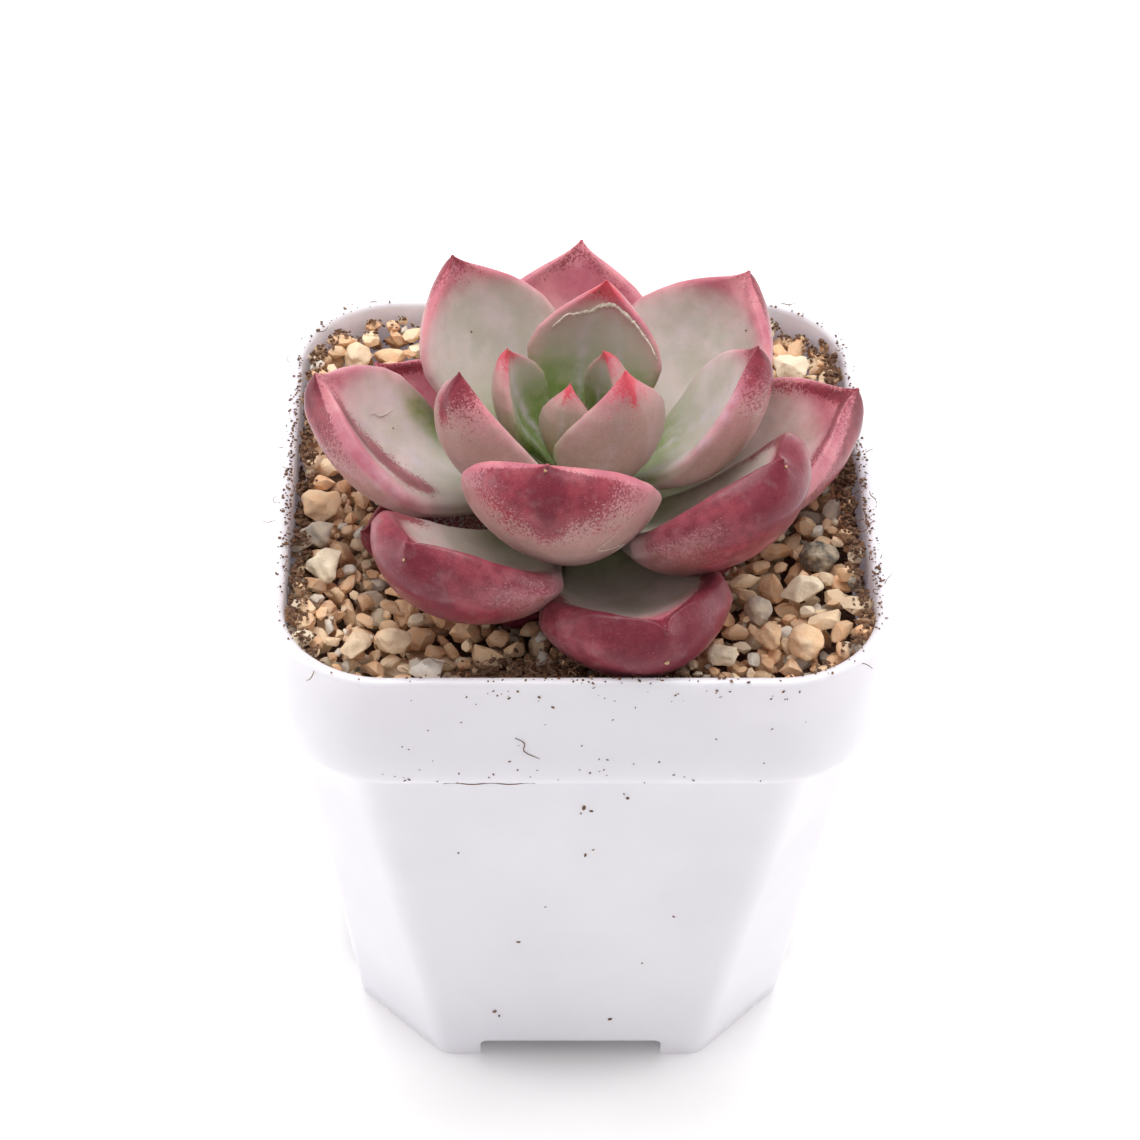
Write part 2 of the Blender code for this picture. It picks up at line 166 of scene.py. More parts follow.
def ease(x, low, high):
    """A soft step from 0 at low to 1 at high."""
    t = np.clip((np.asarray(x, float) - low) / (high - low), 0.0, 1.0)
    return t * t * (3 - 2 * t)


def hill(x, middle, width):
    """A soft bump of height 1 about a middle."""
    return np.exp(-((x - middle) / width) ** 2)


def shared(a, b, share):
    """All of a where the share is 0, all of b where it is 1."""
    return a * (1 - share) + b * share


# ---- Shader helpers --------------------------------------------------------

class Finish:
    """A material and short ways to add its nodes."""

    def __init__(self, name):
        self.mat = bpy.data.materials.new(name)
        self.mat.use_nodes = True
        self.tree = self.mat.node_tree
        self.shader = self.tree.nodes["Principled BSDF"]
        self.coords = self.tree.nodes.new("ShaderNodeTexCoord")

    def node(self, kind, **values):
        made = self.tree.nodes.new(kind)
        for key, value in values.items():
            setattr(made, key, value)
        return made

    def link(self, a, b):
        self.tree.links.new(a, b)

    def feed(self, socket, value):
        """Links an output to a socket, or sets the socket to a number or colour."""
        if isinstance(value, bpy.types.NodeSocket):
            self.link(value, socket)
        elif isinstance(value, tuple) and len(value) == 3:
            socket.default_value = (*value, 1.0) if len(socket.default_value) == 4 else value
        else:
            socket.default_value = value

    def attribute(self, name):
        """The numbers stored on the mesh under this name."""
        return self.node("ShaderNodeAttribute", attribute_name=name).outputs["Fac"]

    def noise(self, size, detail=2.0, rough=0.5, distortion=0.0, offset=0.0):
        """Noise with features of about this size."""
        made = self.node("ShaderNodeTexNoise")
        made.inputs["Scale"].default_value = 1.0 / size
        made.inputs["Detail"].default_value = detail
        made.inputs["Roughness"].default_value = rough
        made.inputs["Distortion"].default_value = distortion
        place = self.coords.outputs["Object"]
        if offset:
            shift = self.node("ShaderNodeMapping")
            shift.inputs["Location"].default_value = (offset, offset * 0.7, offset * 1.3)
            self.link(place, shift.inputs["Vector"])
            place = shift.outputs["Vector"]
        self.link(place, made.inputs["Vector"])
        return made.outputs["Fac"]

    def math(self, kind, a, b):
        made = self.node("ShaderNodeMath", operation=kind)
        for socket, value in zip(made.inputs, (a, b)):
            self.feed(socket, value)
        return made.outputs[0]

    def ramp(self, value, low, high, out_low=0.0, out_high=1.0):
        """A soft step between two values."""
        made = self.node("ShaderNodeMapRange", interpolation_type='SMOOTHSTEP')
        for key, given in (("Value", value), ("From Min", low), ("From Max", high),
                           ("To Min", out_low), ("To Max", out_high)):
            self.feed(made.inputs[key], given)
        return made.outputs["Result"]

    def mix(self, share, a, b):
        """Two colours mixed by a share."""
        made = self.node("ShaderNodeMix", data_type='RGBA')
        self.feed(made.inputs[0], share)
        self.feed(made.inputs[6], a)
        self.feed(made.inputs[7], b)
        return made.outputs[2]

    def blend(self, value, low, high, a, b):
        """Two colours mixed along a soft step."""
        return self.mix(self.ramp(value, low, high), a, b)

    def use(self, effect, **values):
        """Adds one of the shared effects and feeds its sockets; returns its outputs."""
        made = self.node("ShaderNodeGroup")
        made.node_tree = effect.tree
        for key, value in values.items():
            self.feed(made.inputs[key], value)
        return made.outputs

    def bump(self, height, strength, distance, under=None):
        """A surface normal from heights, laid over another if one is given."""
        made = self.node("ShaderNodeBump")
        self.feed(made.inputs["Strength"], strength)
        made.inputs["Distance"].default_value = distance
        self.link(height, made.inputs["Height"])
        if under is not None:
            self.link(under, made.inputs["Normal"])
        return made.outputs["Normal"]

    def set(self, **values):
        for key, value in values.items():
            self.feed(self.shader.inputs[key.replace("_", " ")], value)


# ---- Shared looks ----------------------------------------------------------

class Effect(Finish):
    """A look shared by several materials: a node group with named sockets."""

    def __init__(self, name, takes, gives):
        self.tree = bpy.data.node_groups.new(name, "ShaderNodeTree")
        for side, sockets in (('INPUT', takes), ('OUTPUT', gives)):
            for label, kind in sockets:
                kind = "NodeSocket" + kind
                self.tree.interface.new_socket(name=label, in_out=side, socket_type=kind)
        self.coords = self.node("ShaderNodeTexCoord")
        self.takes = self.node("NodeGroupInput").outputs
        self.gives = self.node("NodeGroupOutput").inputs


def settled_dust():
    """Pale specks and soft patches of dust laid over a colour."""
    e = Effect("settled_dust", (("Color", "Color"), ("Amount", "Float"), ("Dust", "Color")),
               (("Color", "Color"),))
    specks = e.noise(0.13 * MM, 2.0, 0.6, offset=0.61)
    drifts = e.noise(2.4 * MM, 3.0, 0.6, offset=0.47)
    mask = e.math('MAXIMUM', e.ramp(specks, 0.60, 0.76), e.ramp(drifts, 0.52, 0.80, 0.0, 0.55))
    amount = e.math('MULTIPLY', mask, e.takes["Amount"])
    e.link(e.mix(amount, e.takes["Color"], e.takes["Dust"]), e.gives["Color"])
    return e


def fine_grain():
    """Very small unevenness over a slow waviness, as a surface normal."""
    e = Effect("fine_grain", (("Grain", "Float"), ("Wave", "Float")), (("Normal", "Vector"),))
    small = e.bump(e.noise(0.4 * MM, 3.0, 0.65, offset=0.2), e.takes["Grain"], 0.07 * MM)
    e.link(e.bump(e.noise(6.0 * MM, 3.0, 0.5), e.takes["Wave"], 0.5 * MM, small), e.gives["Normal"])
    return e


def crumbly():
    """Crumbling, fibrous matter between a dark and a light colour."""
    e = Effect("crumbly", (("Dark", "Color"), ("Light", "Color")),
               (("Color", "Color"), ("Roughness", "Float"), ("Normal", "Vector")))
    patch = e.noise(0.5 * MM, 4.0, 0.65)
    e.link(e.blend(patch, 0.3, 0.7, e.takes["Dark"], e.takes["Light"]), e.gives["Color"])
    e.link(e.ramp(patch, 0.2, 0.8, 0.75, 0.98), e.gives["Roughness"])
    e.link(e.bump(patch, 0.8, 0.3 * MM), e.gives["Normal"])
    return e


DUST = settled_dust()
GRAIN = fine_grain()
CRUMBLY = crumbly()


# ---- Leaf skin -------------------------------------------------------------

def leaf_skin(name):
    """Waxy flesh: sage face, fresh green heart, rose margin, wine-red flush breaking up into fine dots."""
    f = Finish(name)
    blush, wine, sap, dusk, ripe, bloom = map(f.attribute, ("blush", "wine", "sap", "dusk", "ripe", "bloom"))
    cloud = f.noise(5.0 * MM, 3.0, 0.55)
    patch = f.noise(1.6 * MM, 4.0, 0.62, offset=0.13)
    grain = f.noise(0.36 * MM, 3.0, 0.7, offset=0.31)
    dots = f.noise(0.15 * MM, 2.0, 0.6, offset=0.57)

    def wander(value, share, by=patch):
        """A value made uneven by some of the noise."""
        return f.math('ADD', value, f.math('MULTIPLY', f.math('SUBTRACT', by, 0.5), share))

    sage = f.blend(cloud, 0.35, 0.65, (0.50, 0.465, 0.385), (0.63, 0.54, 0.50))
    green = f.blend(patch, 0.35, 0.7, (0.17, 0.26, 0.055), (0.26, 0.32, 0.12))
    skin = f.blend(wander(sap, 0.6, cloud), 0.1, 0.95, sage, green)
    dusty = f.blend(patch, 0.3, 0.7, (0.42, 0.25, 0.215), (0.50, 0.32, 0.29))
    dusty = f.mix(f.ramp(dots, 0.48, 0.66, 0.0, 0.45), dusty, (0.27, 0.12, 0.10))
    heavy = f.blend(patch, 0.3, 0.7, (0.27, 0.085, 0.070), (0.38, 0.145, 0.125))
    dusty = f.blend(wander(ripe, 0.3), 0.1, 0.9, dusty, heavy)
    skin = f.blend(wander(dusk, 0.4), 0.05, 0.9, skin, dusty)
    rose = f.blend(cloud, 0.3, 0.7, (0.49, 0.115, 0.165), (0.68, 0.25, 0.28))
    skin = f.blend(wander(blush, 0.35), 0.10, 0.95, skin, rose)
    deep = f.blend(patch, 0.3, 0.7, (0.18, 0.016, 0.032), (0.32, 0.040, 0.060))
    deep = f.blend(ripe, 0.02, 0.12, (0.62, 0.07, 0.10), deep)
    edge = wander(wander(wander(wine, 0.5), 1.35, grain), 1.0, dots)
    skin = f.mix(f.ramp(edge, 0.36, 0.72, 0.0, 0.95), skin, deep)
    darkest = f.ramp(wander(wine, 0.5, grain), 1.0, 1.35, 0.0, 0.75)
    darkest = f.math('MULTIPLY', darkest, f.ramp(ripe, 0.05, 0.16))
    skin = f.mix(darkest, skin, (0.15, 0.012, 0.028))
    wax = f.math('MULTIPLY', bloom, f.ramp(patch, 0.30, 0.65, 0.25, 1.0))
    skin = f.mix(f.math('MULTIPLY', wax, 0.62), skin, (0.62, 0.53, 0.60))
    skin = f.use(DUST, Color=skin, Amount=0.17, Dust=(0.80, 0.70, 0.69))["Color"]
    skin = f.mix(f.ramp(grain, 0.22, 0.42, 0.20, 0.0), skin, (0.16, 0.08, 0.06))
    f.set(Base_Color=skin)
    f.set(Roughness=f.ramp(f.math('ADD', wax, f.math('MULTIPLY', grain, 0.4)), 0.1, 0.9, 0.30, 0.58))
    f.set(Subsurface_Weight=0.16, Subsurface_Radius=(1.0, 0.36, 0.22), Subsurface_Scale=1.4 * MM)
    f.set(Sheen_Weight=0.04, Sheen_Roughness=0.5, Specular_IOR_Level=0.30)
    f.link(f.use(GRAIN, Grain=0.30, Wave=0.35)["Normal"], f.shader.inputs["Normal"])
    return f.mat


# ---- Leaf shape ------------------------------------------------------------

# What a leaf adds to the even spiral, by its number: turn, sway and lean in degrees, length in mm.
LEAF_TURN = {9: 5.0, 10: -4.0, 12: 1.5, 14: 5.0, 15: -5.0, 17: 9.0, 18: -4.0, 20: -1.5, 23: -8.0, 25: -6.0}
LEAF_SWAY = {6: 3.0, 7: 4.0, 8: -4.0, 9: -5.5, 10: 6.0, 11: 2.5, 12: -6.5, 13: -3.0, 14: -5.0, 15: 8.0,
             16: -8.0, 17: -8.5, 18: 2.0, 20: 3.0}
LEAF_LEAN = {6: -9.0, 10: -3.0, 11: -2.5, 12: 3.5, 13: -2.5, 14: -2.5, 15: 6.0, 16: -2.5, 17: 3.0,
             19: -1.5, 20: -2.0, 21: -6.5, 22: -6.0, 23: -12.5, 24: -13.5, 25: -13.0}
LEAF_EXTRA = {4: 1.0, 6: -2.0, 7: 0.8, 8: -2.2, 10: 1.0, 13: 0.8, 14: 2.0, 15: 1.2, 16: 1.0, 17: 1.4, 18: 1.7,
              19: -4.8, 20: -0.9, 21: -4.0, 22: -7.0, 23: -12.0, 24: -9.0, 25: -12.0}

# The small old leaves under the rosette: width and thickness in mm.
LOW_WIDTH = {21: 18.0, 22: 16.0, 23: 12.0, 24: 12.0, 25: 9.5}
LOW_THICKNESS = {21: 3.6, 22: 3.2, 23: 2.6, 24: 2.4, 25: 2.4}
CURVE_STEPS = 400


def soft_curve(at, values, spread):
    """A smooth curve through a few given heights, as a table to read between 0 and 1."""
    x = np.linspace(0, 1, CURVE_STEPS + 1)
    y = np.interp(x, at, values)
    reach = int(spread * 4 * CURVE_STEPS)
    kernel = np.exp(-0.5 * (np.arange(-reach, reach + 1) / (spread * CURVE_STEPS)) ** 2)
    kernel /= kernel.sum()
    padded = np.concatenate([2 * y[0] - y[reach:0:-1], y, 2 * y[-1] - y[-2:-reach - 2:-1]])
    return x, np.maximum(np.convolve(padded, kernel, mode="valid"), 0.0)


# Half width and thickness along a leaf, from root to tip, as shares of the most.
YOUNG_OUTLINE = soft_curve((0, 0.04, 0.14, 0.30, 0.45, 0.56, 0.68, 0.78, 0.86, 0.92, 0.96, 1),
                           (0, 0.30, 0.42, 0.72, 0.95, 1.0, 0.88, 0.66, 0.42, 0.23, 0.12, 0.03), 0.010)
OLD_OUTLINE = soft_curve(
    (0, 0.03, 0.12, 0.30, 0.48, 0.59, 0.68, 0.76, 0.82, 0.87, 0.91, 0.94, 0.965, 0.985, 1),
    (0, 0.17, 0.24, 0.56, 0.91, 1.0, 0.95, 0.82, 0.68, 0.51, 0.35, 0.22, 0.12, 0.06, 0.02), 0.008)
BLUNT_OUTLINE = soft_curve((0, 0.03, 0.12, 0.30, 0.50, 0.68, 0.79, 0.87, 0.92, 0.95, 0.965, 0.98, 1),
                           (0, 0.17, 0.24, 0.52, 0.86, 1.0, 0.95, 0.82, 0.66, 0.47, 0.28, 0.12, 0.02), 0.009)
YOUNG_PLUMP = soft_curve((0, 0.03, 0.12, 0.30, 0.50, 0.68, 0.80, 0.90, 0.96, 1),
                         (0, 0.26, 0.45, 0.85, 1.0, 0.92, 0.76, 0.50, 0.28, 0.04), 0.012)
OLD_PLUMP = soft_curve((0, 0.03, 0.12, 0.30, 0.50, 0.68, 0.80, 0.90, 0.95, 0.985, 1),
                       (0, 0.22, 0.30, 0.62, 0.95, 1.0, 0.97, 0.84, 0.62, 0.30, 0.06), 0.010)

# Sizes given one by one: width and thickness in mm, how full the upper edge is, and how blunt the end is.
WIDTH = {4: 7.4, 5: 9.0, 6: 10.6, 7: 14.4, 8: 16.4, 9: 16.4, 12: 22.2, 17: 22.0, 20: 22.0}
THICKNESS = {4: 2.7, 5: 3.0, 6: 3.3, 7: 4.6, 9: 5.2, 10: 5.2, 12: 6.4, 15: 6.0, 17: 6.0, 20: 6.2}
BRIM = {7: 0.24, 9: 0.28, 12: 0.38, 14: 0.44, 15: 0.66, 16: 0.42, 17: 0.62, 18: 0.50, 20: 0.84}
BLUNT = {12: 1.0, 15: 0.8, 17: 0.7, 20: 0.9}

# How far each leaf has flushed wine-red below, how rosy its face is, and how much wax lies on its face.
FLUSH = {4: 0.0, 5: 0.0, 6: 0.0, 7: 0.0, 8: 0.0, 9: 0.14, 10: 0.20, 12: 0.22, 14: 0.45, 15: 0.85, 16: 0.5,
         17: 0.98, 18: 0.75, 19: 0.8, 20: 1.0}
ROSY = {8: 0.18, 10: 0.10, 11: 0.12, 13: 0.16, 14: 0.28, 16: 0.60, 17: 0.25, 18: 0.34, 19: 0.75}
WAXY = {10: 0.50, 11: 0.08, 13: 0.12, 14: 0.45, 18: 0.2}

# Streaks of thicker wax: where each runs across the leaf, how wide it is and how strong.
STREAKS = {4: ((0.1, 0.12, 0.7),), 5: ((0.35, 0.12, 1.2), (-0.4, 0.1, 0.9)),
           6: ((0.05, 0.14, 1.1), (0.6, 0.1, 0.9)), 7: ((-0.45, 0.10, 0.5), (0.30, 0.06, 0.35)),
           8: ((0.25, 0.09, 0.8), (-0.30, 0.07, 0.7)),
           10: ((-0.60, 0.16, 0.9), (0.20, 0.08, 0.6)), 11: ((-0.3, 0.12, 0.4),), 13: ((0.35, 0.10, 0.5),),
           14: ((-0.05, 0.12, 0.6), (0.25, 0.08, 0.4))}
STREAKED_BELOW = (4, 7)
STRIPED = 14


class Leaf:
    """One leaf's sizes, from its number counted outwards from the heart."""

    def __init__(self, number):
        self.number = number
        self.order = order = number - 1 - HEART_LEAVES
        growth = min(1.0, (number - 1) / 13.0)
        spread = min(1.0, (number - 1) / 12.0) ** 0.95
        self.age = min(1.0, max(0.0, order / 14.0))
        self.turn = FIRST_TURN + GOLDEN_TURN * order + LEAF_TURN.get(number, 0.0)
        self.sway = LEAF_SWAY.get(number, 0.0)
        self.width = self.grown(FULL_WIDTH, LEAST_WIDTH, spread)
        self.thickness = self.grown(FULL_THICKNESS, LEAST_THICKNESS, growth)
        self.bow = 0.17 + 0.10 * growth + 0.005 * LEAF_LEAN.get(number, 0.0)
        self.root_height = (80.0 - 0.42 * (number - 1)) * MM
        self.root_radius = min(1.0 + 0.13 * (number - 1), 3.4) * MM
        tilt = 86.0 - 7.1 * order + 0.14 * order ** 2 + LEAF_LEAN.get(number, 0.0)
        length = 34.2 + (13.5 - 34.2) * math.exp(-order / 4.9) + LEAF_EXTRA.get(number, 0.0)
        if order < 0:
            tilt = 86.0 - 0.5 * order
            length = 13.5 + 2.9 * order
            self.width = 9.7 * (0.62 + 0.13 * order) * MM
            self.thickness = 2.7 * (0.62 + 0.12 * order) * MM
            self.bow = 0.05
            self.root_height = STEM_TOP + (0.1 - 0.12 * order) * MM
            self.root_radius = (1.2 + 0.04 * order) * MM
        if number in LOW_WIDTH:
            self.width = LOW_WIDTH[number] * MM
            self.thickness = LOW_THICKNESS[number] * MM
        self.width = WIDTH.get(number, self.width / MM) * MM
        self.thickness = THICKNESS.get(number, self.thickness / MM) * MM
        self.brim = BRIM.get(number, 0.26 + 0.14 * self.age)
        self.ripe = min(1.0, max(0.0, (number - 7) / 5.0))
        self.blunt = BLUNT.get(number, 0.0)
        self.spike = (1.7 + 0.7 * self.ripe) * MM
        self.length = length * MM
        self.reach = length * math.cos(math.radians(tilt)) * MM
        if order <= 0:
            self.reach = (1.7 + 0.2 * order) * MM
        self.rise = GRAVEL_TOP + (7.4 + length * math.sin(math.radians(tilt))) * MM
        self.cup = 0.34 - 0.10 * min(1.0, (number - 1) / 12.0)

    @staticmethod
    def grown(full, least, share):
        """A size in metres between its least share and its full value in mm."""
        return (full * least + (full - full * least) * share) * MM

    def skin(self, along, around):
        """Points on the skin, along from root to tip and around the section, and the half width at each."""
        root = np.array((self.root_radius, self.root_height))
        tip = np.array((self.reach, self.rise))
        chord = tip - root
        up = np.array((-chord[1], chord[0]))
        bend = root + chord * 0.55 - up * self.bow
        s = along[:, None]
        middle = root * (1 - s) ** 2 + bend * 2 * s * (1 - s) + tip * s ** 2
        run = (bend - root) * (1 - s) + (tip - bend) * s
        run /= np.linalg.norm(run, axis=1)[:, None]
        face = np.stack([-run[:, 1], run[:, 0]], 1)
        body = np.clip(along / (1 - 0.12 * self.spike / self.length), 0, 1)
        left = (1 - along) * self.length
        spike, far = self.spike, self.spike * 2.5
        point = (0.09 + 0.80 * (left / spike) ** 1.3) * MM * np.clip(self.width / (21 * MM), 0.45, 1.05)
        point = np.where(left < far, point, 0.0) * (1 - ease(left, spike * 1.2, far))
        outline = shared(np.interp(body, *YOUNG_OUTLINE), np.interp(body, *OLD_OUTLINE), self.ripe)
        outline = shared(outline, np.interp(body, *BLUNT_OUTLINE), self.blunt)
        plump = shared(np.interp(body, *YOUNG_PLUMP), np.interp(body, *OLD_PLUMP), self.ripe)
        end = ease(left, 0.0, 0.25 * MM)
        half = ((self.width / 2 * outline) ** 3 + (point * end) ** 3) ** (1 / 3)
        depth = ((self.thickness * plump) ** 3 + (point * 1.3 * end) ** 3) ** (1 / 3)
        cup = half ** 2 / self.width * self.cup
        across, side = np.cos(around), np.sin(around)
        rounded = np.sqrt(np.maximum(0.0, 1 - across ** 6))
        dished = (1 - across ** 2) ** 1.2
        centre = 0.14 + 0.6 * max(0.0, self.brim - 0.40)
        upper = depth * (self.brim * rounded - (self.brim - centre) * dished)
        lower = -0.78 * depth * np.abs(side) ** 1.10
        height = np.where(side >= 0, upper, lower) + cup * (2 * across ** 2 - 0.6)
        wide = half * across * (1 + 0.02 * hill(side, 0, 0.12) * self.age)
        turn = np.radians(self.turn + self.sway * along ** 1.5)
        place = middle + face * height[:, None]
        x = np.cos(turn) * place[:, 0] - np.sin(turn) * wide
        y = np.sin(turn) * place[:, 0] + np.cos(turn) * wide
        return PLANT + np.stack([x, y, place[:, 1]], 1), half


def make_leaf(number, finish):
    """One leaf: a ball drawn out to the leaf's skin, then marked for its colours."""
    leaf = Leaf(number)
    let_go()
    bpy.ops.mesh.primitive_uv_sphere_add(segments=56, ring_count=72, radius=1.0)
    obj = bpy.context.active_object
    ball = coords(obj)
    polar = np.arccos(np.clip(ball[:, 2], -1, 1))
    around = np.arctan2(ball[:, 1], ball[:, 0])
    share = polar / math.pi
    along = 1 - (1 - share) ** 1.25 * (1 - 0.22 * share)
    pole = np.hypot(ball[:, 0], ball[:, 1]) < 1e-4
    around[pole] = math.pi / 2
    co, half = leaf.skin(along, around)
    wobble = np.array([noise.noise(Vector(p) / (7.0 * MM) + Vector((number, 0, 0))) for p in co])
    co[:, 2] += wobble * 0.22 * MM * leaf.width / (22 * MM) * ease(along, 0.15, 0.4)
    set_coords(obj, co)
    outward(obj)
    smooth_shaded(obj)

    colour_leaf(obj, leaf, along, around, half)
    name = "leaf_%02d" % number
    return finish_piece(obj, "skin_" + name, finish, name, name)


def colour_leaf(obj, leaf, along, around, half):
    """Marks where a leaf is rosy, wine-red, green, dusky and waxed."""
    number, age = leaf.number, leaf.age
    across, side = np.cos(around), np.sin(around)
    under = 1 - ease(side, -0.22, 0.10)
    inset = (1 - np.abs(across)) * half / MM
    from_tip = (1 - along) * leaf.length / MM
    near_edge = np.exp(-inset / 1.5)
    drift = np.array([noise.noise(Vector((a * 9.0, c * 3.5, number * 3.1))) for a, c in zip(along, across)])
    flush, rosy = FLUSH.get(number, 0.25 * age), ROSY.get(number, 0.1 * age)
    tip = np.exp(-(from_tip / (1.7 + 3.0 * age)) ** 1.3)
    outer = ease(along, 0.25, 0.75)

    upper_blush = rosy * ease(along, 0.2, 0.6) + (0.45 + 0.35 * age) * near_edge * outer
    upper_blush = upper_blush + (0.8 + 0.2 * age) * tip
    upper_blush += (0.12 + 0.35 * rosy) * ease(along, 0.70, 0.95)
    under_blush = (0.12 + 0.25 * age) * (1 - 0.6 * flush) * ease(along, 0.35, 0.95)
    under_blush = under_blush + 0.9 * tip + 0.25 * near_edge * outer
    mark(obj, "blush", np.clip(shared(upper_blush, under_blush, under), 0, 1))

    keel = hill(across, 0, 0.16 + 0.5 * ease(along, 0.90, 1.0)) * ease(along, 0.74, 0.94)
    band = hill(inset, 2.2, 1.3) * ease(along, 0.42, 0.65)
    brim_wine = hill(inset, 0, 2.2) * ease(along, 0.45, 0.75) * ease(leaf.brim, 0.45, 0.7)
    upper_wine = 0.75 * flush * band * ease(flush, 0.3, 0.6)
    upper_wine = upper_wine + (0.90 * (1 - ease(leaf.order, 6, 8)) + 0.25 + 0.3 * age) * tip + 0.9 * brim_wine
    if number == STRIPED:
        stripe = hill(across - (0.56 - 0.55 * (along - 0.40)), 0.10 * drift, 0.27)
        stripe = stripe * ease(along, 0.36, 0.50) * (1 - ease(along, 0.84, 0.95))
        upper_wine += 1.2 * stripe
    spread = ease(along + 0.10 * drift, 0.62 - 0.30 * flush, 0.98 - 0.26 * flush)
    spread = spread * (1 - (0.30 + 0.32 * flush) * ease(np.abs(across + 0.15 * drift), 0.40, 1.0))
    under_wine = (0.22 + 0.85 * flush) * spread + (0.45 + 0.85 * age) * keel + (0.72 + 0.5 * age) * tip
    # Partly painted shade: the small old leaves under the rosette are made deeper wine-red all over. This is
    # partly their own older colour and partly the shade they sit in under the rosette.
    if number in LOW_WIDTH:
        upper_wine += 0.6
        under_wine += 0.7
    wine = np.clip(shared(upper_wine, under_wine, under), 0, 1.3)
    mark(obj, "wine", wine)

    young = 1 - ease(leaf.order, 2, 9)
    sap = (0.62 + 0.38 * young) * (1 - ease(along, 0.12, 0.62 + 0.2 * young)) + 0.30 * young
    if number == STRIPED:
        sap += 0.6 * hill(across, -0.75, 0.3) * ease(along, 0.25, 0.38) * (1 - ease(along, 0.52, 0.68))
    mark(obj, "sap", np.clip(sap * (1 - 0.35 * under), 0, 1))
    mark(obj, "dusk", np.clip(under * (0.60 + 0.4 * age) * ease(along, 0.12, 0.45), 0, 1))
    mark(obj, "ripe", np.full(len(along), flush))

    bloom = 0.95 * under * (1 - ease(along, 0.30, 0.74)) * np.sqrt(age) * (1 - 0.5 * flush)
    bloom += (0.12 + 0.30 * flush * flush) * hill(inset, 0.4, 0.9) * (1 - tip)
    veil = ease(drift, -0.1, 0.45) * ease(along, 0.18, 0.4) * (1 - ease(along, 0.80, 0.95))
    bloom += WAXY.get(number, 0.08) * (1 - under) * (0.35 + 1.1 * veil)
    run = ease(along, 0.1, 0.3)
    streaked = np.where(number in STREAKED_BELOW, under, 1 - under)
    for line, width, strength in STREAKS.get(number, ()):
        streak = strength * hill(across - line, 0.05 * drift, width) * run
        bloom += streak * (1 - ease(along, 0.70, 0.92)) * streaked
    mark(obj, "bloom", np.clip(bloom * (1 - 0.8 * np.minimum(wine, 1)), 0, 1))


# ---- Pot -------------------------------------------------------------------

LIP = 0.75 * MM
CORNER_STEPS = 11


def pot_outline(half, chamfer, radius):
    """Points round a square with cut corners whose two edges per corner are softened."""
    reach = min(radius * math.tan(math.radians(22.5)), chamfer / math.sqrt(2) * 0.999)
    soft = reach / math.tan(math.radians(22.5))
    points = []
    for quarter in range(4):
        c, s = round(math.cos(quarter * math.pi / 2)), round(math.sin(quarter * math.pi / 2))
        for start, middle in ((0.0, (half - soft, half - chamfer - reach)),
                              (45.0, (half - chamfer - reach, half - soft))):
            for step in range(CORNER_STEPS):
                a = math.radians(start + 45.0 * step / (CORNER_STEPS - 1))
                x, y = middle[0] + math.cos(a) * soft, middle[1] + math.sin(a) * soft
                points.append((x * c - y * s, x * s + y * c))
    return points


ROUND_LEG = 2 - math.sqrt(2)
COLLAR_BOTTOM = POT_HEIGHT - COLLAR_HEIGHT


def body_ring(z, pull=0.0, height=None):
    """Height and outline sizes of the tapering body, pulled inwards by some depth."""
    t = z / COLLAR_BOTTOM
    half = BASE_WIDTH / 2 + (POT_WIDTH / 2 - COLLAR_OVERHANG - BASE_WIDTH / 2) * t - pull
    chamfer = BASE_CHAMFER + (BODY_TOP_CHAMFER - BASE_CHAMFER) * t - pull * ROUND_LEG
    radius = max(BASE_EDGE + (BODY_TOP_EDGE - BASE_EDGE) * t - pull, 1.0 * MM)
    return (z if height is None else height, half, chamfer, radius)


def collar_ring(z, pull=0.0):
    """Height and outline sizes of the collar, pulled inwards by some depth."""
    return (z, POT_WIDTH / 2 - pull, (COLLAR_ROUND - pull) * ROUND_LEG, COLLAR_ROUND - pull)


def lip_ring(angle, pull):
    """A ring of the rounded lip, by its angle up from the wall's face."""
    return collar_ring(POT_HEIGHT - LIP * (1 - math.sin(math.radians(angle))), pull)


def apply_all(obj):
    take(obj)
    for mod in list(obj.modifiers):
        bpy.ops.object.modifier_apply(modifier=mod.name)
    let_go()


def cut_away(obj, tool):
    """Cuts one solid out of another and removes the cutter."""
    mod = obj.modifiers.new("cut", 'BOOLEAN')
    mod.operation = 'DIFFERENCE'
    mod.solver = 'EXACT'
    mod.object = tool
    apply_all(obj)
    bpy.data.objects.remove(tool, do_unlink=True)


def white_plastic():
    """Moulded white plastic, a little uneven in tone and gloss, with hardly any dust."""
    f = Finish("white_plastic")
    cloud = f.noise(22.0 * MM, 3.0, 0.5)
    smear = f.noise(4.0 * MM, 4.0, 0.6, distortion=0.8, offset=0.4)
    tone = f.blend(cloud, 0.3, 0.7, (0.79, 0.765, 0.83), (0.85, 0.83, 0.885))
    tone = f.mix(f.ramp(smear, 0.62, 0.85, 0.0, 0.012), tone, (0.62, 0.54, 0.50))
    f.set(Base_Color=f.use(DUST, Color=tone, Amount=0.02, Dust=(0.60, 0.50, 0.44))["Color"])
    f.set(Roughness=f.ramp(smear, 0.2, 0.8, 0.29, 0.31))
    f.set(Subsurface_Weight=0.55, Subsurface_Radius=(1.0, 0.94, 0.97), Subsurface_Scale=3.5 * MM, IOR=1.49)
    f.link(f.use(GRAIN, Grain=0.05, Wave=0.03)["Normal"], f.shader.inputs["Normal"])
    return f.mat


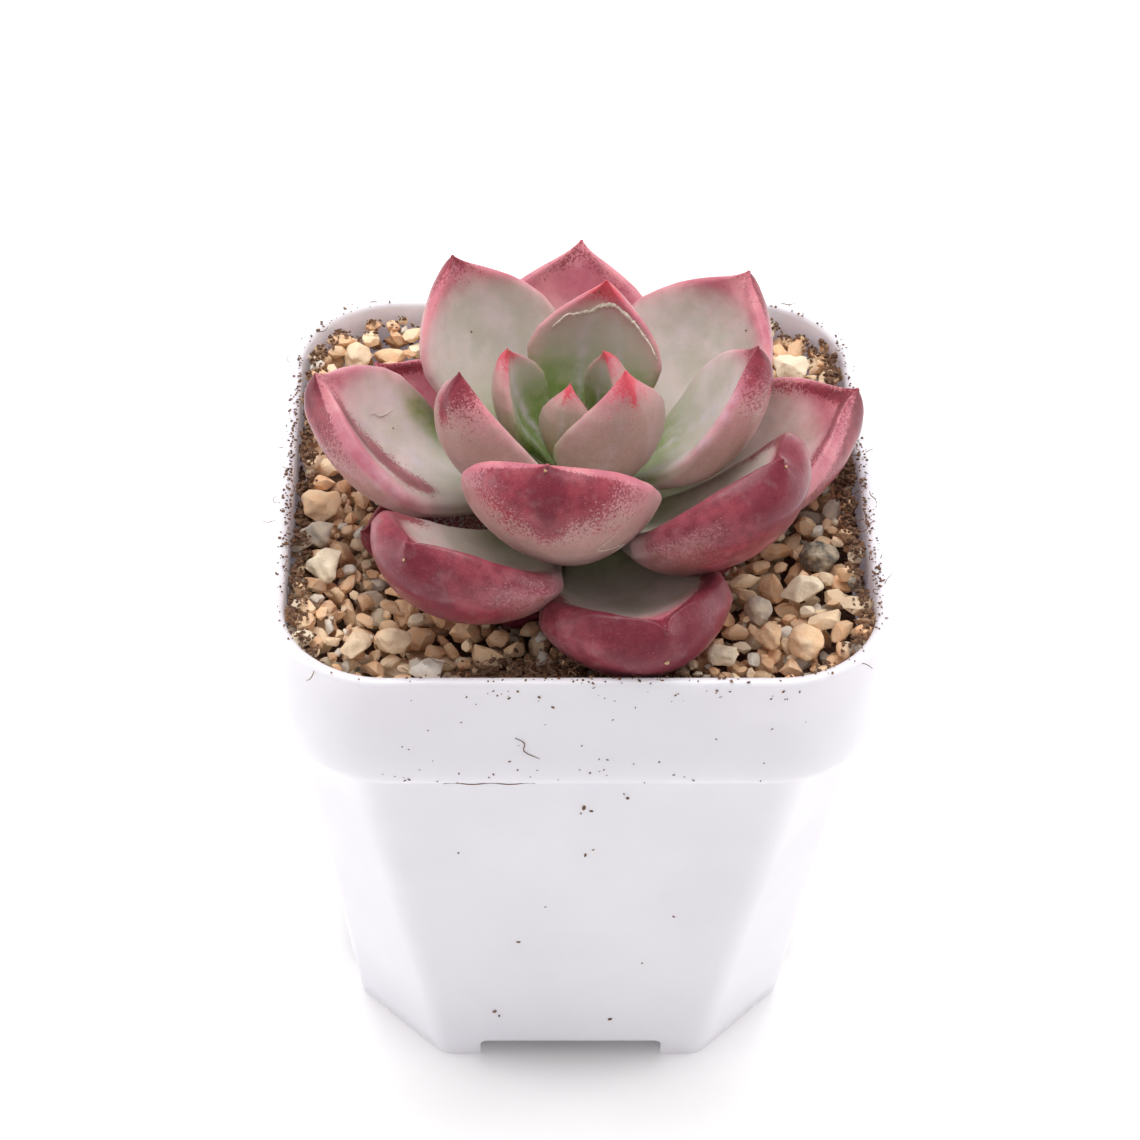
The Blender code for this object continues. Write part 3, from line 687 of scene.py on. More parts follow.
def make_pot(finish):
    """The pot's skin from the floor's underside, up the outside, over the lip and down to the floor."""
    deep = WALL + 0.1 * MM
    rings = [body_ring(0, deep, FLOOR_UNDERSIDE), body_ring(0, deep, 0.3 * MM),
             body_ring(0, WALL - 0.2 * MM, 0.0), body_ring(0, 0.5 * MM),
             body_ring(0.2 * MM, 0.15 * MM), body_ring(0.6 * MM)]
    rings += [body_ring(COLLAR_BOTTOM * t) for t in (0.1, 0.3, 0.5, 0.7, 0.9, 0.985)]
    rings += [body_ring(COLLAR_BOTTOM, -0.12 * MM)]
    rings += [collar_ring(COLLAR_BOTTOM + a * MM, b * MM)
              for a, b in ((0.05, 1.25), (0.15, 0.85), (0.45, 0.42), (0.9, 0.15), (1.6, 0.0), (5.0, 0.0))]
    rings += [collar_ring(POT_HEIGHT - 6.0 * MM, 0.02 * MM)]
    rings += [lip_ring(a, LIP * (1 - math.cos(math.radians(a)))) for a in (0, 22.5, 45, 67.5, 90)]
    rings += [lip_ring(a, WALL - LIP + LIP * math.cos(math.radians(a)) + 0.05 * MM) for a in (90, 60, 30, 0)]
    rings += [collar_ring(COLLAR_BOTTOM + 1.9 * MM, WALL), collar_ring(COLLAR_BOTTOM + 1.5 * MM, deep),
              body_ring(COLLAR_BOTTOM, WALL, COLLAR_BOTTOM + 0.2 * MM), body_ring(COLLAR_BOTTOM * 0.5, WALL),
              body_ring(FLOOR_UNDERSIDE + FLOOR_THICKNESS, WALL)]
    let_go()
    columns, rows = 8 * CORNER_STEPS, len(rings) + 1
    bpy.ops.mesh.primitive_uv_sphere_add(segments=columns, ring_count=rows, radius=1.0)
    obj = bpy.context.active_object
    ball = coords(obj)
    polar = np.arccos(np.clip(ball[:, 2], -1, 1))
    row = np.rint(polar / math.pi * rows).astype(int)
    column = np.rint(np.arctan2(ball[:, 1], ball[:, 0]) / (2 * math.pi) * columns).astype(int) % columns
    outlines = [pot_outline(half, chamfer, radius) for _, half, chamfer, radius in rings]
    co = np.zeros_like(ball)
    for i, (r, c) in enumerate(zip(row, column)):
        if r == 0:
            co[i] = (0, 0, FLOOR_UNDERSIDE)
        elif r == rows:
            co[i] = (0, 0, FLOOR_UNDERSIDE + FLOOR_THICKNESS)
        else:
            x, y = outlines[r - 1][c]
            co[i] = (x, y, rings[r - 1][0])
    set_coords(obj, co)
    outward(obj)
    for turn in (0.0, 90.0):
        let_go()
        bpy.ops.mesh.primitive_cube_add(size=1.0, rotation=(0, 0, math.radians(turn)))
        tool = bpy.context.active_object
        tool.dimensions = (POT_WIDTH, NOTCH_WIDTH, NOTCH_HEIGHT * 2)
        bpy.ops.object.transform_apply(location=True, rotation=True, scale=True)
        rounding = tool.modifiers.new("round", 'BEVEL')
        rounding.width = 0.9 * MM
        rounding.segments = 4
        apply_all(tool)
        cut_away(obj, tool)
    for x, y in ((0, 0), (1, 1), (-1, 1), (-1, -1), (1, -1)):
        let_go()
        bpy.ops.mesh.primitive_cylinder_add(vertices=32, radius=DRAIN_RADIUS, depth=8 * MM,
                                            location=(x * DRAIN_PITCH, y * DRAIN_PITCH, 5 * MM))
        tool = bpy.context.active_object
        bpy.ops.object.transform_apply(location=True, rotation=True, scale=True)
        cut_away(obj, tool)
    smooth_shaded(obj, 32)
    return finish_piece(obj, "nursery_pot", finish, "pot", "pot")


# ---- Gravel ----------------------------------------------------------------

CELL = 0.4 * MM
GRID = 176


def cell(x, y):
    """The square of the height map under a point."""
    return int(x / CELL + GRID / 2), int(y / CELL + GRID / 2)


def climb(away):
    """How far up its climb towards the wall the dressing has come."""
    return ease(away, CLIMB_FROM, CLIMB_TO)


def inside_pot(x, y, margin):
    """True where a point is at least this far inside the collar's inner wall."""
    half = POT_WIDTH / 2 - WALL - margin
    r = max(COLLAR_ROUND - WALL - margin, 1 * MM)
    qx, qy = np.abs(x) - (half - r), np.abs(y) - (half - r)
    outside = np.hypot(np.maximum(qx, 0), np.maximum(qy, 0)) + np.minimum(np.maximum(qx, qy), 0)
    return outside <= r


class Heap:
    """Where the dressing's surface lies, as stones are set down on it one by one."""

    def __init__(self, leaves):
        axis = (np.arange(GRID) - GRID / 2 + 0.5) * CELL
        self.x, self.y = np.meshgrid(axis, axis, indexing="ij")
        away = np.hypot(self.x, self.y)
        edge = np.maximum(np.abs(self.x), 0.94 * self.y)
        self.top = np.full((GRID, GRID), BED_LEVEL) + 0.7 * MM * ease(away, 20 * MM, 34 * MM)
        self.top += BED_CLIMB * climb(edge)
        self.roof = np.full((GRID, GRID), 1.0)
        for leaf in leaves:
            co = coords(leaf)
            i = ((co[:, 0] / CELL) + GRID / 2).astype(int)
            j = ((co[:, 1] / CELL) + GRID / 2).astype(int)
            ok = (i >= 0) & (i < GRID) & (j >= 0) & (j < GRID)
            np.minimum.at(self.roof, (i[ok], j[ok]), co[ok, 2])
        low = self.roof.copy()
        for shift in ((1, 0), (-1, 0), (0, 1), (0, -1), (1, 1), (-1, -1), (1, -1), (-1, 1)):
            low = np.minimum(low, np.roll(self.roof, shift, (0, 1)))
        self.roof = low

    def seat(self, x, y, size, turn):
        """Footprint and the centre height at which a stone of this size would rest."""
        reach = int(max(size[0], size[1]) / CELL) + 2
        i, j = cell(x, y)
        a, b = max(i - reach, 0), min(i + reach + 1, GRID)
        c, d = max(j - reach, 0), min(j + reach + 1, GRID)
        dx, dy = self.x[a:b, c:d] - x, self.y[a:b, c:d] - y
        u = (dx * math.cos(turn) + dy * math.sin(turn)) / size[0]
        v = (-dx * math.sin(turn) + dy * math.cos(turn)) / size[1]
        left = 1 - u * u - v * v
        foot = left > 0.02
        if not foot.any():
            return None
        belly = size[2] * np.sqrt(np.maximum(left, 0))
        z = (self.top[a:b, c:d] + belly)[foot].max()
        clear = (self.roof[a:b, c:d] - belly)[foot].min() - 0.15 * MM
        return (a, b, c, d), foot, belly, z, clear

    def put(self, where, foot, belly, z):
        """Raises the surface to the top of a stone set down here."""
        a, b, c, d = where
        patch = self.top[a:b, c:d]
        patch[foot] = np.maximum(patch[foot], (z + belly)[foot])


def chip_shapes(rng, count, subdivisions):
    """Worn, slightly angular chips: a ball cut back by flat faces and pitted."""
    shapes = []
    for n in range(count):
        let_go()
        bpy.ops.mesh.primitive_ico_sphere_add(subdivisions=subdivisions, radius=1.0)
        obj = bpy.context.active_object
        co = coords(obj)
        for _ in range(11):
            way = np.array([rng.gauss(0, 1) for _ in range(3)])
            way /= np.linalg.norm(way)
            limit = rng.uniform(0.48, 0.84)
            over = np.maximum(co @ way - limit, 0)
            co -= over[:, None] * way * 0.93
        pits = np.array([noise.noise(Vector(p) * 2.1 + Vector((n * 7.0, 0, 0))) for p in co])
        co *= (1 + 0.16 * pits)[:, None]
        co /= np.abs(co).max(0)
        faces = np.array([p.vertices[:] for p in obj.data.polygons])
        shapes.append((co, faces))
        bpy.data.objects.remove(obj, do_unlink=True)
    return shapes


def mesh_of(name, parts):
    """One mesh from many shaped copies, each with its own marks."""
    verts, faces, start = [], [], 0
    values = {key: [] for key in parts[0][2]}
    for co, tri, given in parts:
        verts.append(co)
        faces.append(tri + start)
        start += len(co)
        for key in values:
            values[key].append(np.full(len(co), given[key]))
    mesh = bpy.data.meshes.new(name)
    mesh.from_pydata(np.concatenate(verts).tolist(), [], np.concatenate(faces).tolist())
    obj = add_object(name, mesh)
    for key in values:
        mark(obj, key, np.concatenate(values[key]))
    return obj


def piece_of(name, parts, angle, finish, slot, *nodes):
    """A finished piece from shaped copies, shaded smoothly up to an angle."""
    obj = mesh_of(name, parts)
    smooth_shaded(obj, angle)
    return finish_piece(obj, name, finish, slot, *nodes)


def turned(co, size, turn, lean, roll):
    """A unit shape given its size, then rolled, leaned and turned."""
    co = co * np.array(size)
    for axis, angle in ((0, roll), (1, lean), (2, turn)):
        c, s = math.cos(angle), math.sin(angle)
        i, j = [(1, 2), (2, 0), (0, 1)][axis]
        a, b = co[:, i].copy(), co[:, j].copy()
        co[:, i], co[:, j] = a * c - b * s, a * s + b * c
    return co


def chip_stone():
    """Dry chips of mixed stone, each with its own colour, with a dusty, pitted surface and painted shade in
    the pits.
    """
    f = Finish("chip_stone")
    kind = f.attribute("kind")
    tone = f.attribute("tone")
    colour = f.node("ShaderNodeValToRGB")
    colour.color_ramp.interpolation = 'CONSTANT'
    wanted = ((0.0, (0.84, 0.49, 0.27)), (0.28, (0.90, 0.59, 0.35)), (0.50, (0.92, 0.69, 0.46)),
              (0.68, (0.93, 0.80, 0.60)), (0.78, (0.66, 0.37, 0.20)), (0.86, (0.54, 0.47, 0.40)),
              (0.91, (0.90, 0.85, 0.77)), (0.975, (0.09, 0.08, 0.07)))
    points = colour.color_ramp.elements
    points[0].color = (*wanted[0][1], 1)
    points[1].position, points[1].color = wanted[1][0], (*wanted[1][1], 1)
    for at, value in wanted[2:]:
        points.new(at).color = (*value, 1)
    f.link(kind, colour.inputs["Fac"])
    cloud = f.noise(1.4 * MM, 4.0, 0.6)
    pits = f.noise(0.30 * MM, 3.0, 0.7, offset=0.3)
    base = f.mix(f.ramp(cloud, 0.35, 0.7, 0.0, 0.55), colour.outputs["Color"], (0.86, 0.70, 0.50))
    # Painted shade: the pits are darkened towards deep brown, as shade lying in their hollows.
    base = f.mix(f.ramp(pits, 0.58, 0.78, 0.0, 0.42), base, (0.32, 0.17, 0.09))
    shade = f.node("ShaderNodeHueSaturation")
    f.link(base, shade.inputs["Color"])
    f.link(f.ramp(tone, 0.0, 1.0, 0.84, 1.10), shade.inputs["Value"])
    dusted = f.use(DUST, Color=shade.outputs["Color"], Amount=0.25, Dust=(0.90, 0.78, 0.62))
    f.set(Base_Color=dusted["Color"])
    f.set(Roughness=f.ramp(pits, 0.2, 0.8, 0.65, 0.92))
    f.set(Specular_IOR_Level=0.3)
    rough = f.bump(pits, 0.5, 0.16 * MM)
    f.link(f.bump(cloud, 0.5, 0.5 * MM, rough), f.shader.inputs["Normal"])
    return f.mat


def peat_finish(name, low, high):
    """Peat, dried sap or cork, depending on the two colours."""
    f = Finish(name)
    look = f.use(CRUMBLY, Dark=low, Light=high)
    f.set(Base_Color=look["Color"], Roughness=look["Roughness"], Normal=look["Normal"])
    return f.mat


# Where the named stones' colours lie among the chip colours
STONE_KINDS = {"pale": 0.72, "tan": 0.32, "grey": 0.89, "dark": 0.99, "cream": 0.74, "ribbed": 0.58,
               "white": 0.93, "sandy": 0.57, "amber": 0.35, "buff": 0.6}


def make_gravel(leaves, finish):
    """The named stones on their own nodes, then chips and grit set down on the height map around them."""
    rng = random.Random(GRAVEL_SEED)
    heap = Heap(leaves)
    fine_shapes = chip_shapes(rng, 5, 4)
    for name in sorted(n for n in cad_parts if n.startswith("stone_")):
        low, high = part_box(name)
        middle, size = (low + high) / 2, (high - low) / 2
        co, tri = fine_shapes[rng.randrange(len(fine_shapes))]
        kind = STONE_KINDS[name.split("_")[1]]
        marks = {"kind": kind, "tone": rng.uniform(0.4, 0.8)}
        part = (co * np.array(size) * 1.04 + np.array(middle), tri, marks)
        piece_of("chip_" + name, [part], 40, finish, name, name)
        (a, b, c, d), foot, belly, _, _ = heap.seat(middle.x, middle.y, tuple(size * 1.04), 0.0)
        under = np.where(foot, middle.z - belly, 1.0)
        heap.roof[a:b, c:d] = np.minimum(heap.roof[a:b, c:d], under)
    shapes = chip_shapes(rng, 14, 2)
    grit_shapes = chip_shapes(rng, 8, 1)
    parts, grit = [], []
    for attempt in range(1, ALL_TRIES + 1):
        large = attempt < GRIT_FROM
        long = rng.uniform(0.9, 1.8) * MM if rng.random() < 0.8 else rng.uniform(1.8, 2.4) * MM
        if not large:
            long = rng.uniform(0.50, 0.98) * MM
        size = (long, long * rng.uniform(0.52, 0.86), long * rng.uniform(0.45, 0.75))
        best = lowest_seat(rng, heap, size)
        if best is None:
            continue
        z, x, y, turn, (where, foot, belly, _, _) = best
        heap.put(where, foot, belly, z)
        pick = shapes if large else grit_shapes
        co, tri = pick[rng.randrange(len(pick))]
        flip = 1 if rng.random() < 0.5 else -1
        co = co * np.array((1, 1, flip))
        if flip < 0:
            tri = tri[:, ::-1]
        placed = turned(co, size, turn, rng.uniform(-0.25, 0.25), rng.uniform(-0.25, 0.25))
        (parts if large else grit).append(
            (placed + np.array((x, y, z)), tri, {"kind": rng.random(), "tone": rng.random()}))
    for name, pile in (("gravel_chips", parts), ("gravel_grit", grit)):
        piece_of(name, pile, 28, finish, "gravel", "gravel")
    return heap


def lowest_seat(rng, heap, size, places=7):
    """The lowest free seat for a stone out of a few places picked at random, or None."""
    best = None
    for _ in range(places):
        x, y = rng.uniform(-33, 33) * MM, rng.uniform(-33, 33) * MM
        if not inside_pot(x, y, size[1] * 0.9):
            continue
        turn = rng.uniform(0, math.pi)
        seat = heap.seat(x, y, size, turn)
        if seat is None:
            continue
        z, clear = seat[3], seat[4]
        level = FILL_LEVEL + FILL_CLIMB * float(climb(max(abs(x), 0.94 * y)))
        if z > clear or z > level or z + size[2] > level + FILL_PROUD:
            continue
        if best is None or z < best[0]:
            best = (z, x, y, turn, seat)
    return best


# ---- Peat, threads and marks -----------------------------------------------

def wall_place(turn, inset):
    """A point this far inside the collar's outer face, at a turn round the pot."""
    c, s = math.cos(turn), math.sin(turn)
    low, high = 0.0, 60 * MM
    for _ in range(24):
        mid = (low + high) / 2
        if inside_pot(mid * c, mid * s, inset - WALL):
            low = mid
        else:
            high = mid
    return low * c, low * s


# Where peat has gathered in front, in mm: the middle, the spread and how many crumbs are tried.
PEAT_SPOTS = (((-5.5, -30.3), (3.4, 1.2), 480), ((6.0, -32.0), (4.0, 0.8), 330),
              ((16.5, -32.0), (2.2, 0.6), 40), ((-15.0, -31.5), (3.0, 0.8), 30),
              ((0.0, -28.0), (4.0, 1.6), 70))


def make_peat(heap, finish):
    """Loose crumbs of peat along the wall and over the lip, thickest at the sides and two spots in front."""
    rng = random.Random(PEAT_SEED)
    shapes = chip_shapes(rng, 8, 1)
    parts = []

    def crumb(x, y, z, size):
        co, tri = shapes[rng.randrange(len(shapes))]
        size = (size, size * rng.uniform(0.5, 0.9), size * rng.uniform(0.4, 0.8))
        placed = turned(co, size, rng.uniform(0, 6.3), rng.uniform(-0.6, 0.6), rng.uniform(-0.6, 0.6))
        parts.append((placed + np.array((x, y, z)), tri, {"tone": rng.random()}))

    while len(parts) < CRUMBS:
        turn = rng.uniform(-math.pi, math.pi)
        side = abs(math.cos(turn))
        if rng.random() > 0.05 + 0.95 * side ** 4:
            continue
        size = rng.triangular(0.10, 0.46, 0.16) * MM
        if rng.random() < 0.10:
            x, y = wall_place(turn, rng.triangular(0.3, WALL / MM + 0.1, WALL / MM) * MM)
            z = POT_HEIGHT + size * 0.2
            size *= 0.7
        else:
            x, y = wall_place(turn, WALL + size + rng.triangular(0.0, 2.6, 0.1) * MM)
            i, j = cell(x, y)
            z = min(heap.top[i, j] + size * rng.uniform(0.1, 0.6), POT_HEIGHT - 0.1 * MM)
            if z + size > heap.roof[i, j]:
                continue
            heap.top[i, j] = max(heap.top[i, j], z)
        crumb(x, y, z, size)
    for middle, spread, count in PEAT_SPOTS:
        for _ in range(count):
            x, y = rng.gauss(middle[0], spread[0]) * MM, rng.gauss(middle[1], spread[1]) * MM
            size = rng.uniform(0.20, 0.74) * MM
            if not inside_pot(x, y, size):
                continue
            i, j = cell(x, y)
            z = heap.top[i, j] + size * 0.4
            if z + size < heap.roof[i, j] and z < POT_HEIGHT:
                heap.top[i, j] = z
                crumb(x, y, z, size)
    piece_of("peat_crumbs", parts, 30, finish, "soil")

    runs = []
    for _ in range(WALL_FIBRES):
        turn = rng.uniform(-math.pi, math.pi)
        if rng.random() > 0.1 + 0.9 * abs(math.cos(turn)) ** 3:
            continue
        x, y = wall_place(turn, rng.uniform(0.0, 3.0) * MM)
        runs.append(curl(rng, (x, y, POT_HEIGHT - rng.uniform(-0.3, 1.0) * MM), rng.uniform(0.8, 2.4) * MM))
    for _ in range(FRONT_FIBRES):
        spot = (rng.gauss(-4, 6) * MM, rng.uniform(-33.4, -30.0) * MM, rng.uniform(72.5, 74.8) * MM)
        runs.append(curl(rng, spot, rng.uniform(1.2, 3.2) * MM))
    threads("peat_fibres", runs, 0.055 * MM, finish, "soil")


def curl(rng, start, length, steps=9):
    """Points along a loosely curling fibre."""
    place = Vector(start)
    turn, rise = rng.uniform(0, 6.3), rng.uniform(-0.35, 0.35)
    drift = rng.uniform(-0.5, 0.5)
    points = [place.copy()]
    for _ in range(steps):
        turn += drift + rng.uniform(-0.25, 0.25)
        rise = max(-0.9, min(0.9, rise + rng.uniform(-0.2, 0.2)))
        step = Vector((math.cos(turn) * math.cos(rise), math.sin(turn) * math.cos(rise), math.sin(rise)))
        place = place + step * (length / steps)
        points.append(place.copy())
    return points


def threads(name, runs, radius, finish, slot):
    """Thin round threads through lists of points, turned into one mesh."""
    data = bpy.data.curves.new(name, 'CURVE')
    data.dimensions = '3D'
    data.bevel_depth = radius
    data.bevel_resolution = 1
    data.use_fill_caps = True
    for run in runs:
        spline = data.splines.new('POLY')
        spline.points.add(len(run) - 1)
        for i, (point, place) in enumerate(zip(spline.points, run)):
            point.co = (*place, 1.0)
            point.radius = 0.45 + 0.55 * math.sin(math.pi * (i + 0.6) / (len(run) + 0.2))
    take(add_object(name, data))
    bpy.ops.object.convert(target='MESH')
    obj = bpy.context.active_object
    on_whole_mesh(obj, bpy.ops.mesh.remove_doubles, threshold=1e-7)
    outward(obj)
    smooth_shaded(obj)
    return finish_piece(obj, name, finish, slot)


def on_leaf(leaf, along, across, lift=0.0, under=False):
    """Places on a leaf's face, or its underside, raised a little off the skin."""
    along, across = np.atleast_1d(along).astype(float), np.atleast_1d(across).astype(float)
    around = np.arccos(across) * (-1 if under else 1)
    here = leaf.skin(along, around)[0]
    ahead = leaf.skin(along + 1e-3, around)[0] - here
    beside = leaf.skin(along, around + 1e-3)[0] - here
    out = np.cross(ahead, beside)
    out /= np.linalg.norm(out, axis=1)[:, None]
    through = here - leaf.skin(along, -around)[0]
    out *= np.sign((out * through).sum(1))[:, None]
    return here + out * lift


def lying_on(number, along, across, lift, under=False):
    """A run of points for a thread that lies on a leaf."""
    return [Vector(p) for p in on_leaf(Leaf(number), along, across, lift, under)]


# Dried beads at leaf tips: the leaf, the place along and across it, and the size in mm.
BEADS = ((12, 0.985, -0.3, 0.24), (20, 0.93, 0.0, 0.34), (15, 0.985, 0.0, 0.26),
         (17, 0.97, 0.1, 0.20), (6, 0.985, 0.2, 0.13), (9, 0.99, 0.0, 0.13))
BEADS_BELOW = (12, 15, 17, 20)
GRIT_SPOTS = ((14, 0.58, -0.30), (11, 0.66, 0.1), (8, 0.93, 0.45), (13, 0.8, -0.5), (11, 0.45, -0.4))


def make_leaf_marks(dry, pale, brown):
    """The corky scar and crust on leaf 8, dried beads on six tips, plant hairs, a bit of straw and grit."""
    rng = random.Random(MARK_SEED)
    leaf = Leaf(8)
    across = np.linspace(-0.95, 0.78, 72)
    ragged = np.array([noise.noise(Vector((c * 5.0, 3.3, 0))) for c in across])
    fine = np.array([noise.noise(Vector((c * 22.0, 1.3, 0))) for c in across])
    along = np.interp(across, (-0.95, -0.90, -0.80, -0.50, 0.0, 0.35, 0.72, 0.78),
                      (0.62, 0.70, 0.79, 0.865, 0.85, 0.80, 0.765, 0.68)) + 0.016 * ragged + 0.012 * fine
    scar = on_leaf(leaf, along, across, 0.02 * MM)
    runs = [[Vector(p) for p in scar]]
    for start in (8, 22, 30, 44, 52):
        runs.append([Vector(p) + Vector((0, 0, rng.uniform(-0.2, 0.1) * MM)) for p in scar[start:start + 7]])
    threads("scar_leaf_08", runs, 0.25 * MM, pale, "leaf_08")
    crusts = []
    for spot in scar[4::3]:
        co, tri = chip_shapes(rng, 1, 1)[0]
        size = rng.triangular(0.14, 0.42, 0.18) * MM
        co = turned(co, (size, size * 0.6, size * 0.35), rng.uniform(0, 3), 0.5, 0.2)
        crusts.append((co + spot, tri, {}))
    piece_of("crust_leaf_08", crusts, 40, pale, "leaf_08")
    for number, along, across, size in BEADS:
        spot = on_leaf(Leaf(number), along, across, 0.05 * MM, under=number in BEADS_BELOW)[0]
        co, tri = chip_shapes(rng, 1, 3)[0]
        co = turned(co, (size * MM, size * 0.85 * MM, size * 0.7 * MM), rng.uniform(0, 6), 0.3, 0.2)
        piece_of("bead_leaf_%02d" % number, [(co + spot, tri, {})], None, dry, "leaf_%02d" % number)
    hairs = [lying_on(14, np.linspace(0.60, 0.70, 12) + 0.01 * np.sin(np.linspace(0, 4, 12)),
                      np.linspace(-0.50, -0.22, 12) + 0.06 * np.sin(np.linspace(0, 5, 12)), 0.08 * MM),
             lying_on(12, np.linspace(0.60, 0.75, 14), 0.55 + 0.12 * np.sin(np.linspace(0, 7, 14)),
                      0.12 * MM, True)]
    threads("plant_hairs", hairs, 0.05 * MM, pale, "leaf_12")
    straw = lying_on(17, np.linspace(0.53, 0.48, 5), np.linspace(-0.62, -0.70, 5), 0.12 * MM, True)
    threads("straw_bit", [straw], 0.16 * MM, dry, "leaf_17")
    dots = []
    for number, along, across in GRIT_SPOTS:
        spot = on_leaf(Leaf(number), along, across, 0.02 * MM)[0]
        co, tri = chip_shapes(rng, 1, 2)[0]
        dots.append((co * 0.13 * MM + spot, tri, {}))
    piece_of("leaf_grit", dots, None, brown, "leaf_14")


def front_face(z):
    """How far forward the pot's front stands at a height."""
    if z > COLLAR_BOTTOM:
        return -POT_WIDTH / 2
    return -body_ring(z)[1]


# Specks on the pot's front that can be told apart: across, up and size in mm.
FRONT_SPECKS = ((0.7, 52.8, 0.50), (1.5, 52.1, 0.32), (0.3, 51.7, 0.2), (5.6, 54.6, 0.30),
                (5.2, 55.4, 0.2), (1.0, 43.6, 0.36), (1.9, 44.6, 0.2), (-6.8, 25.6, 0.32),
                (-9.8, 10.2, 0.38), (-9.2, 9.2, 0.24), (4.9, 8.4, 0.36), (12.0, 31.0, 0.2),
                (-14.0, 44.0, 0.18), (-3.6, 33.0, 0.16), (8.5, 21.0, 0.17))


def make_pot_dirt(finish):
    """Specks of peat stuck to the pot, most on the collar and along the lip, and two fine fibres."""
    rng = random.Random(DIRT_SEED)
    shapes = chip_shapes(rng, 4, 1)
    parts = []

    def speck(x, y, z, size, face):
        """Adds one speck, flattened against the face it sticks to."""
        co, tri = shapes[rng.randrange(len(shapes))]
        co = turned(co, (size, size * rng.uniform(0.4, 0.9), size * 0.6), rng.uniform(0, 6.3), 0, 0)
        if face == "front":
            co = co[:, [0, 2, 1]] * np.array((1, 0.6, 1))
            tri = tri[:, ::-1]
        elif face == "side":
            co = co[:, [2, 0, 1]] * np.array((0.6, 1, 1))
        parts.append((co + np.array((x, y, z)), tri, {"tone": rng.random()}))

    for _ in range(78):
        x = rng.uniform(-24, 25) * MM
        z = rng.choice((rng.uniform(59.4, 74.4), rng.gauss(60.6, 0.8), rng.uniform(72.6, 74.4)))
        z = max(COLLAR_BOTTOM + 1.0 * MM, z * MM)
        speck(x, front_face(z), z, rng.triangular(0.08, 0.30, 0.11) * MM, "front")
    for _ in range(40):
        x = rng.gauss(4, 14) * MM
        if abs(x) < 23 * MM:
            y = rng.uniform(-35.0, -33.9) * MM
            speck(x, y, POT_HEIGHT, rng.triangular(0.08, 0.34, 0.12) * MM, "top")
    for x, z, size in FRONT_SPECKS:
        speck(x * MM, front_face(z * MM) - 0.04 * MM, z * MM, size * MM, "front")
    for _ in range(60):
        side = rng.choice((-1, 1))
        z = rng.uniform(59.6, 74.3) * MM
        speck(side * POT_WIDTH / 2, rng.uniform(-20, 20) * MM, z,
              rng.triangular(0.08, 0.28, 0.1) * MM, "side")
    for _ in range(30):
        speck(rng.uniform(-20, 20) * MM, POT_WIDTH / 2, rng.uniform(59.6, 74.3) * MM,
              rng.triangular(0.08, 0.28, 0.1) * MM, "front")
    outward(piece_of("pot_specks", parts, 30, finish, "pot"))
    y = -POT_WIDTH / 2 - 0.03 * MM
    hair = [Vector(((-7.4 + 0.30 * i + 0.5 * math.sin(i * 0.9)) * MM, y, (66.9 - 0.42 * i) * MM))
            for i in range(9)]
    line = [Vector(((-15.5 + 0.55 * i) * MM, y + 0.4 * MM, (59.05 + 0.12 * math.sin(i * 0.8)) * MM))
            for i in range(20)]
    threads("pot_fibres", [hair, line], 0.07 * MM, finish, "pot")


def main():
    """Every piece of the plant, the pot and what lies in it."""
    skin = leaf_skin("leaf_skin")
    leaves = [make_leaf(n, skin) for n in range(1, LEAF_COUNT + 1)]
    make_pot(white_plastic())
    stone = chip_stone()
    peat = peat_finish("damp_peat", (0.085, 0.040, 0.022), (0.27, 0.145, 0.082))
    heap = make_gravel(leaves, stone)
    make_peat(heap, peat)
    make_leaf_marks(peat_finish("dry_bead", (0.40, 0.22, 0.10), (0.66, 0.46, 0.27)),
                    peat_finish("cork_scar", (0.62, 0.50, 0.40), (0.84, 0.76, 0.66)), peat)
    make_pot_dirt(peat)
    for name in ("soil", "stem"):
        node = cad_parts[name]
        node.data.materials.clear()
        node.data.materials.append(peat)


# ---- Camera and studio -----------------------------------------------------

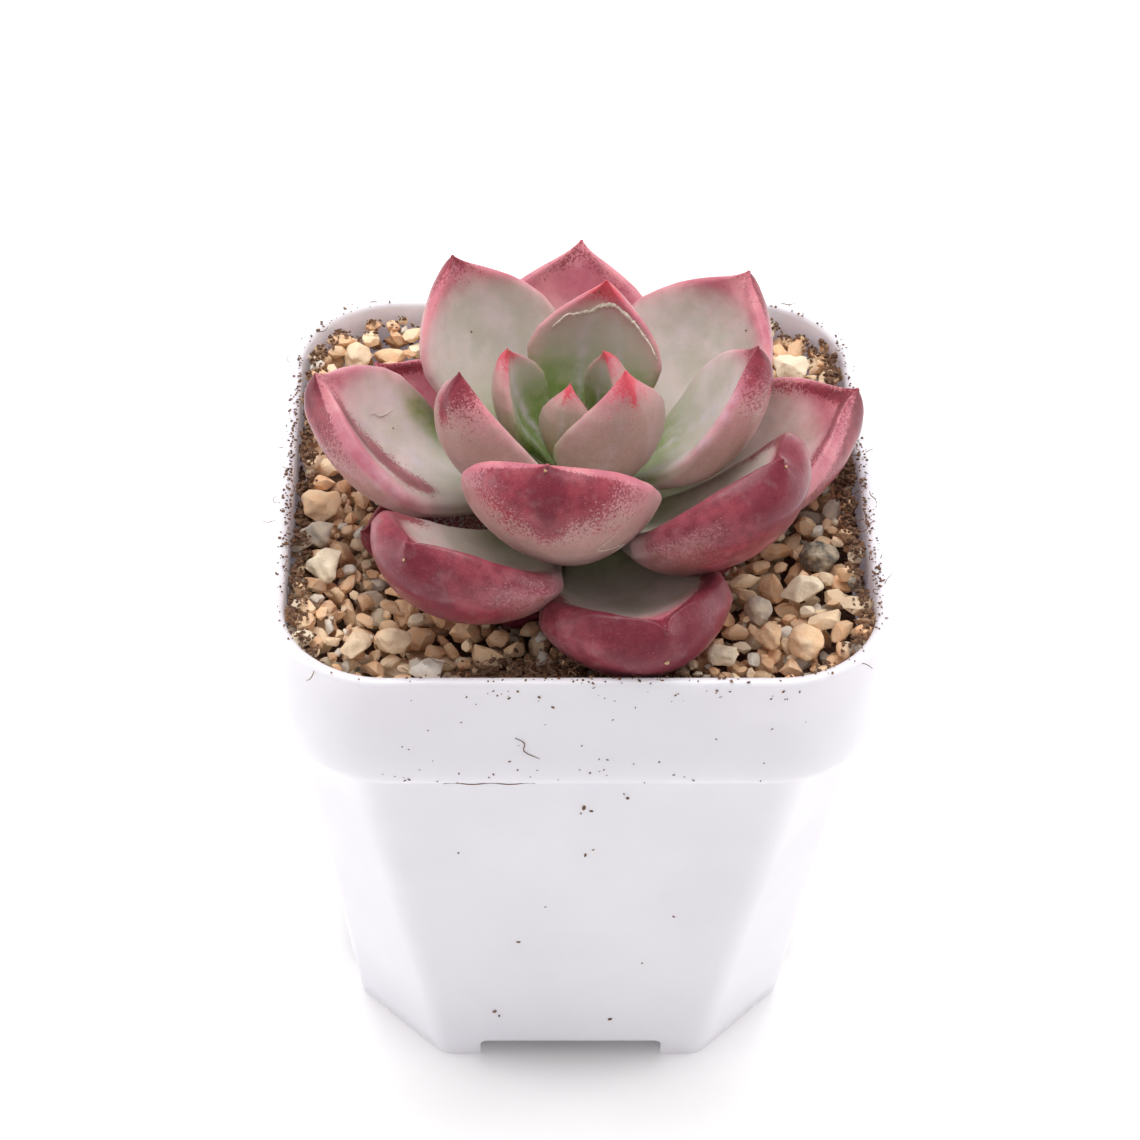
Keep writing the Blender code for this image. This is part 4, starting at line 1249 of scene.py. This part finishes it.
def make_camera():
    """A long lens from in front and above, shifted to frame the pot."""
    data = bpy.data.cameras.new("camera")
    cam = add_object("camera", data)
    cam.location = (-0.0089, -0.2641, 0.3022)
    cam.rotation_euler = (math.radians(47.767), 0.0, 0.0)
    data.lens = 92.43
    data.sensor_width = 36.0
    data.shift_x = 0.0601
    data.shift_y = -0.0128
    data.clip_start = 0.01
    bpy.context.scene.camera = cam


def add_light(name, place, size, power):
    """A soft lamp turned towards the pot."""
    data = bpy.data.lights.new(name, 'AREA')
    data.shape = 'RECTANGLE'
    data.size, data.size_y = size
    data.energy = power
    lamp = add_object(name, data)
    lamp.location = place
    lamp.rotation_euler = (Vector(LAMP_AIM) - Vector(place)).to_track_quat('-Z', 'Y').to_euler()


def make_studio():
    """A white table that glows, except close round the pot where the glow fades out as a painted shadow,
    white surroundings and three soft lamps: one overhead, one at each side.
    """
    let_go()
    bpy.ops.mesh.primitive_plane_add(size=6.0, location=(0, 0, 0))
    floor = bpy.context.active_object
    floor.name = "floor"
    f = Finish("floor")
    f.set(Base_Color=(0.94, 0.925, 0.925), Roughness=0.9, Specular_IOR_Level=0.1)
    away = f.node("ShaderNodeVectorMath", operation='LENGTH')
    f.link(f.coords.outputs["Object"], away.inputs[0])
    # Painted shadow: the floor's glow is nil under the pot, within 24 mm of its middle, and rises to full by
    # 37 mm. This darkens the gaps under the pot and the shadow at its foot.
    glow_past_painted_shadow = f.ramp(away.outputs["Value"], 0.024, 0.037, 0.0, 0.24)
    far_glow = f.ramp(away.outputs["Value"], 0.25, 1.3, 0.0, 0.30)
    f.set(Emission_Color=(1.0, 0.985, 0.985), Emission_Strength=f.math('ADD', glow_past_painted_shadow, far_glow))
    floor.data.materials.append(f.mat)
    world = bpy.data.worlds.new("studio")
    world.use_nodes = True
    tree = world.node_tree
    back = tree.nodes["Background"]
    path = tree.nodes.new("ShaderNodeLightPath")
    level = tree.nodes.new("ShaderNodeMapRange")
    tree.links.new(path.outputs["Is Camera Ray"], level.inputs["Value"])
    level.inputs["To Min"].default_value = WORLD_LEVEL
    level.inputs["To Max"].default_value = 1.0
    tree.links.new(level.outputs["Result"], back.inputs["Strength"])
    back.inputs["Color"].default_value = (1, 1, 1, 1)
    bpy.context.scene.world = world
    add_light("overhead", (0.0, 0.16, 0.62), (0.5, 0.4), OVERHEAD_POWER)
    add_light("left", (-0.55, 0.02, 0.22), (0.35, 0.35), SIDE_POWER)
    add_light("right", (0.55, 0.02, 0.22), (0.35, 0.35), SIDE_POWER)
    bpy.context.scene.view_settings.view_transform = 'Standard'


make_camera()
main()
make_studio()
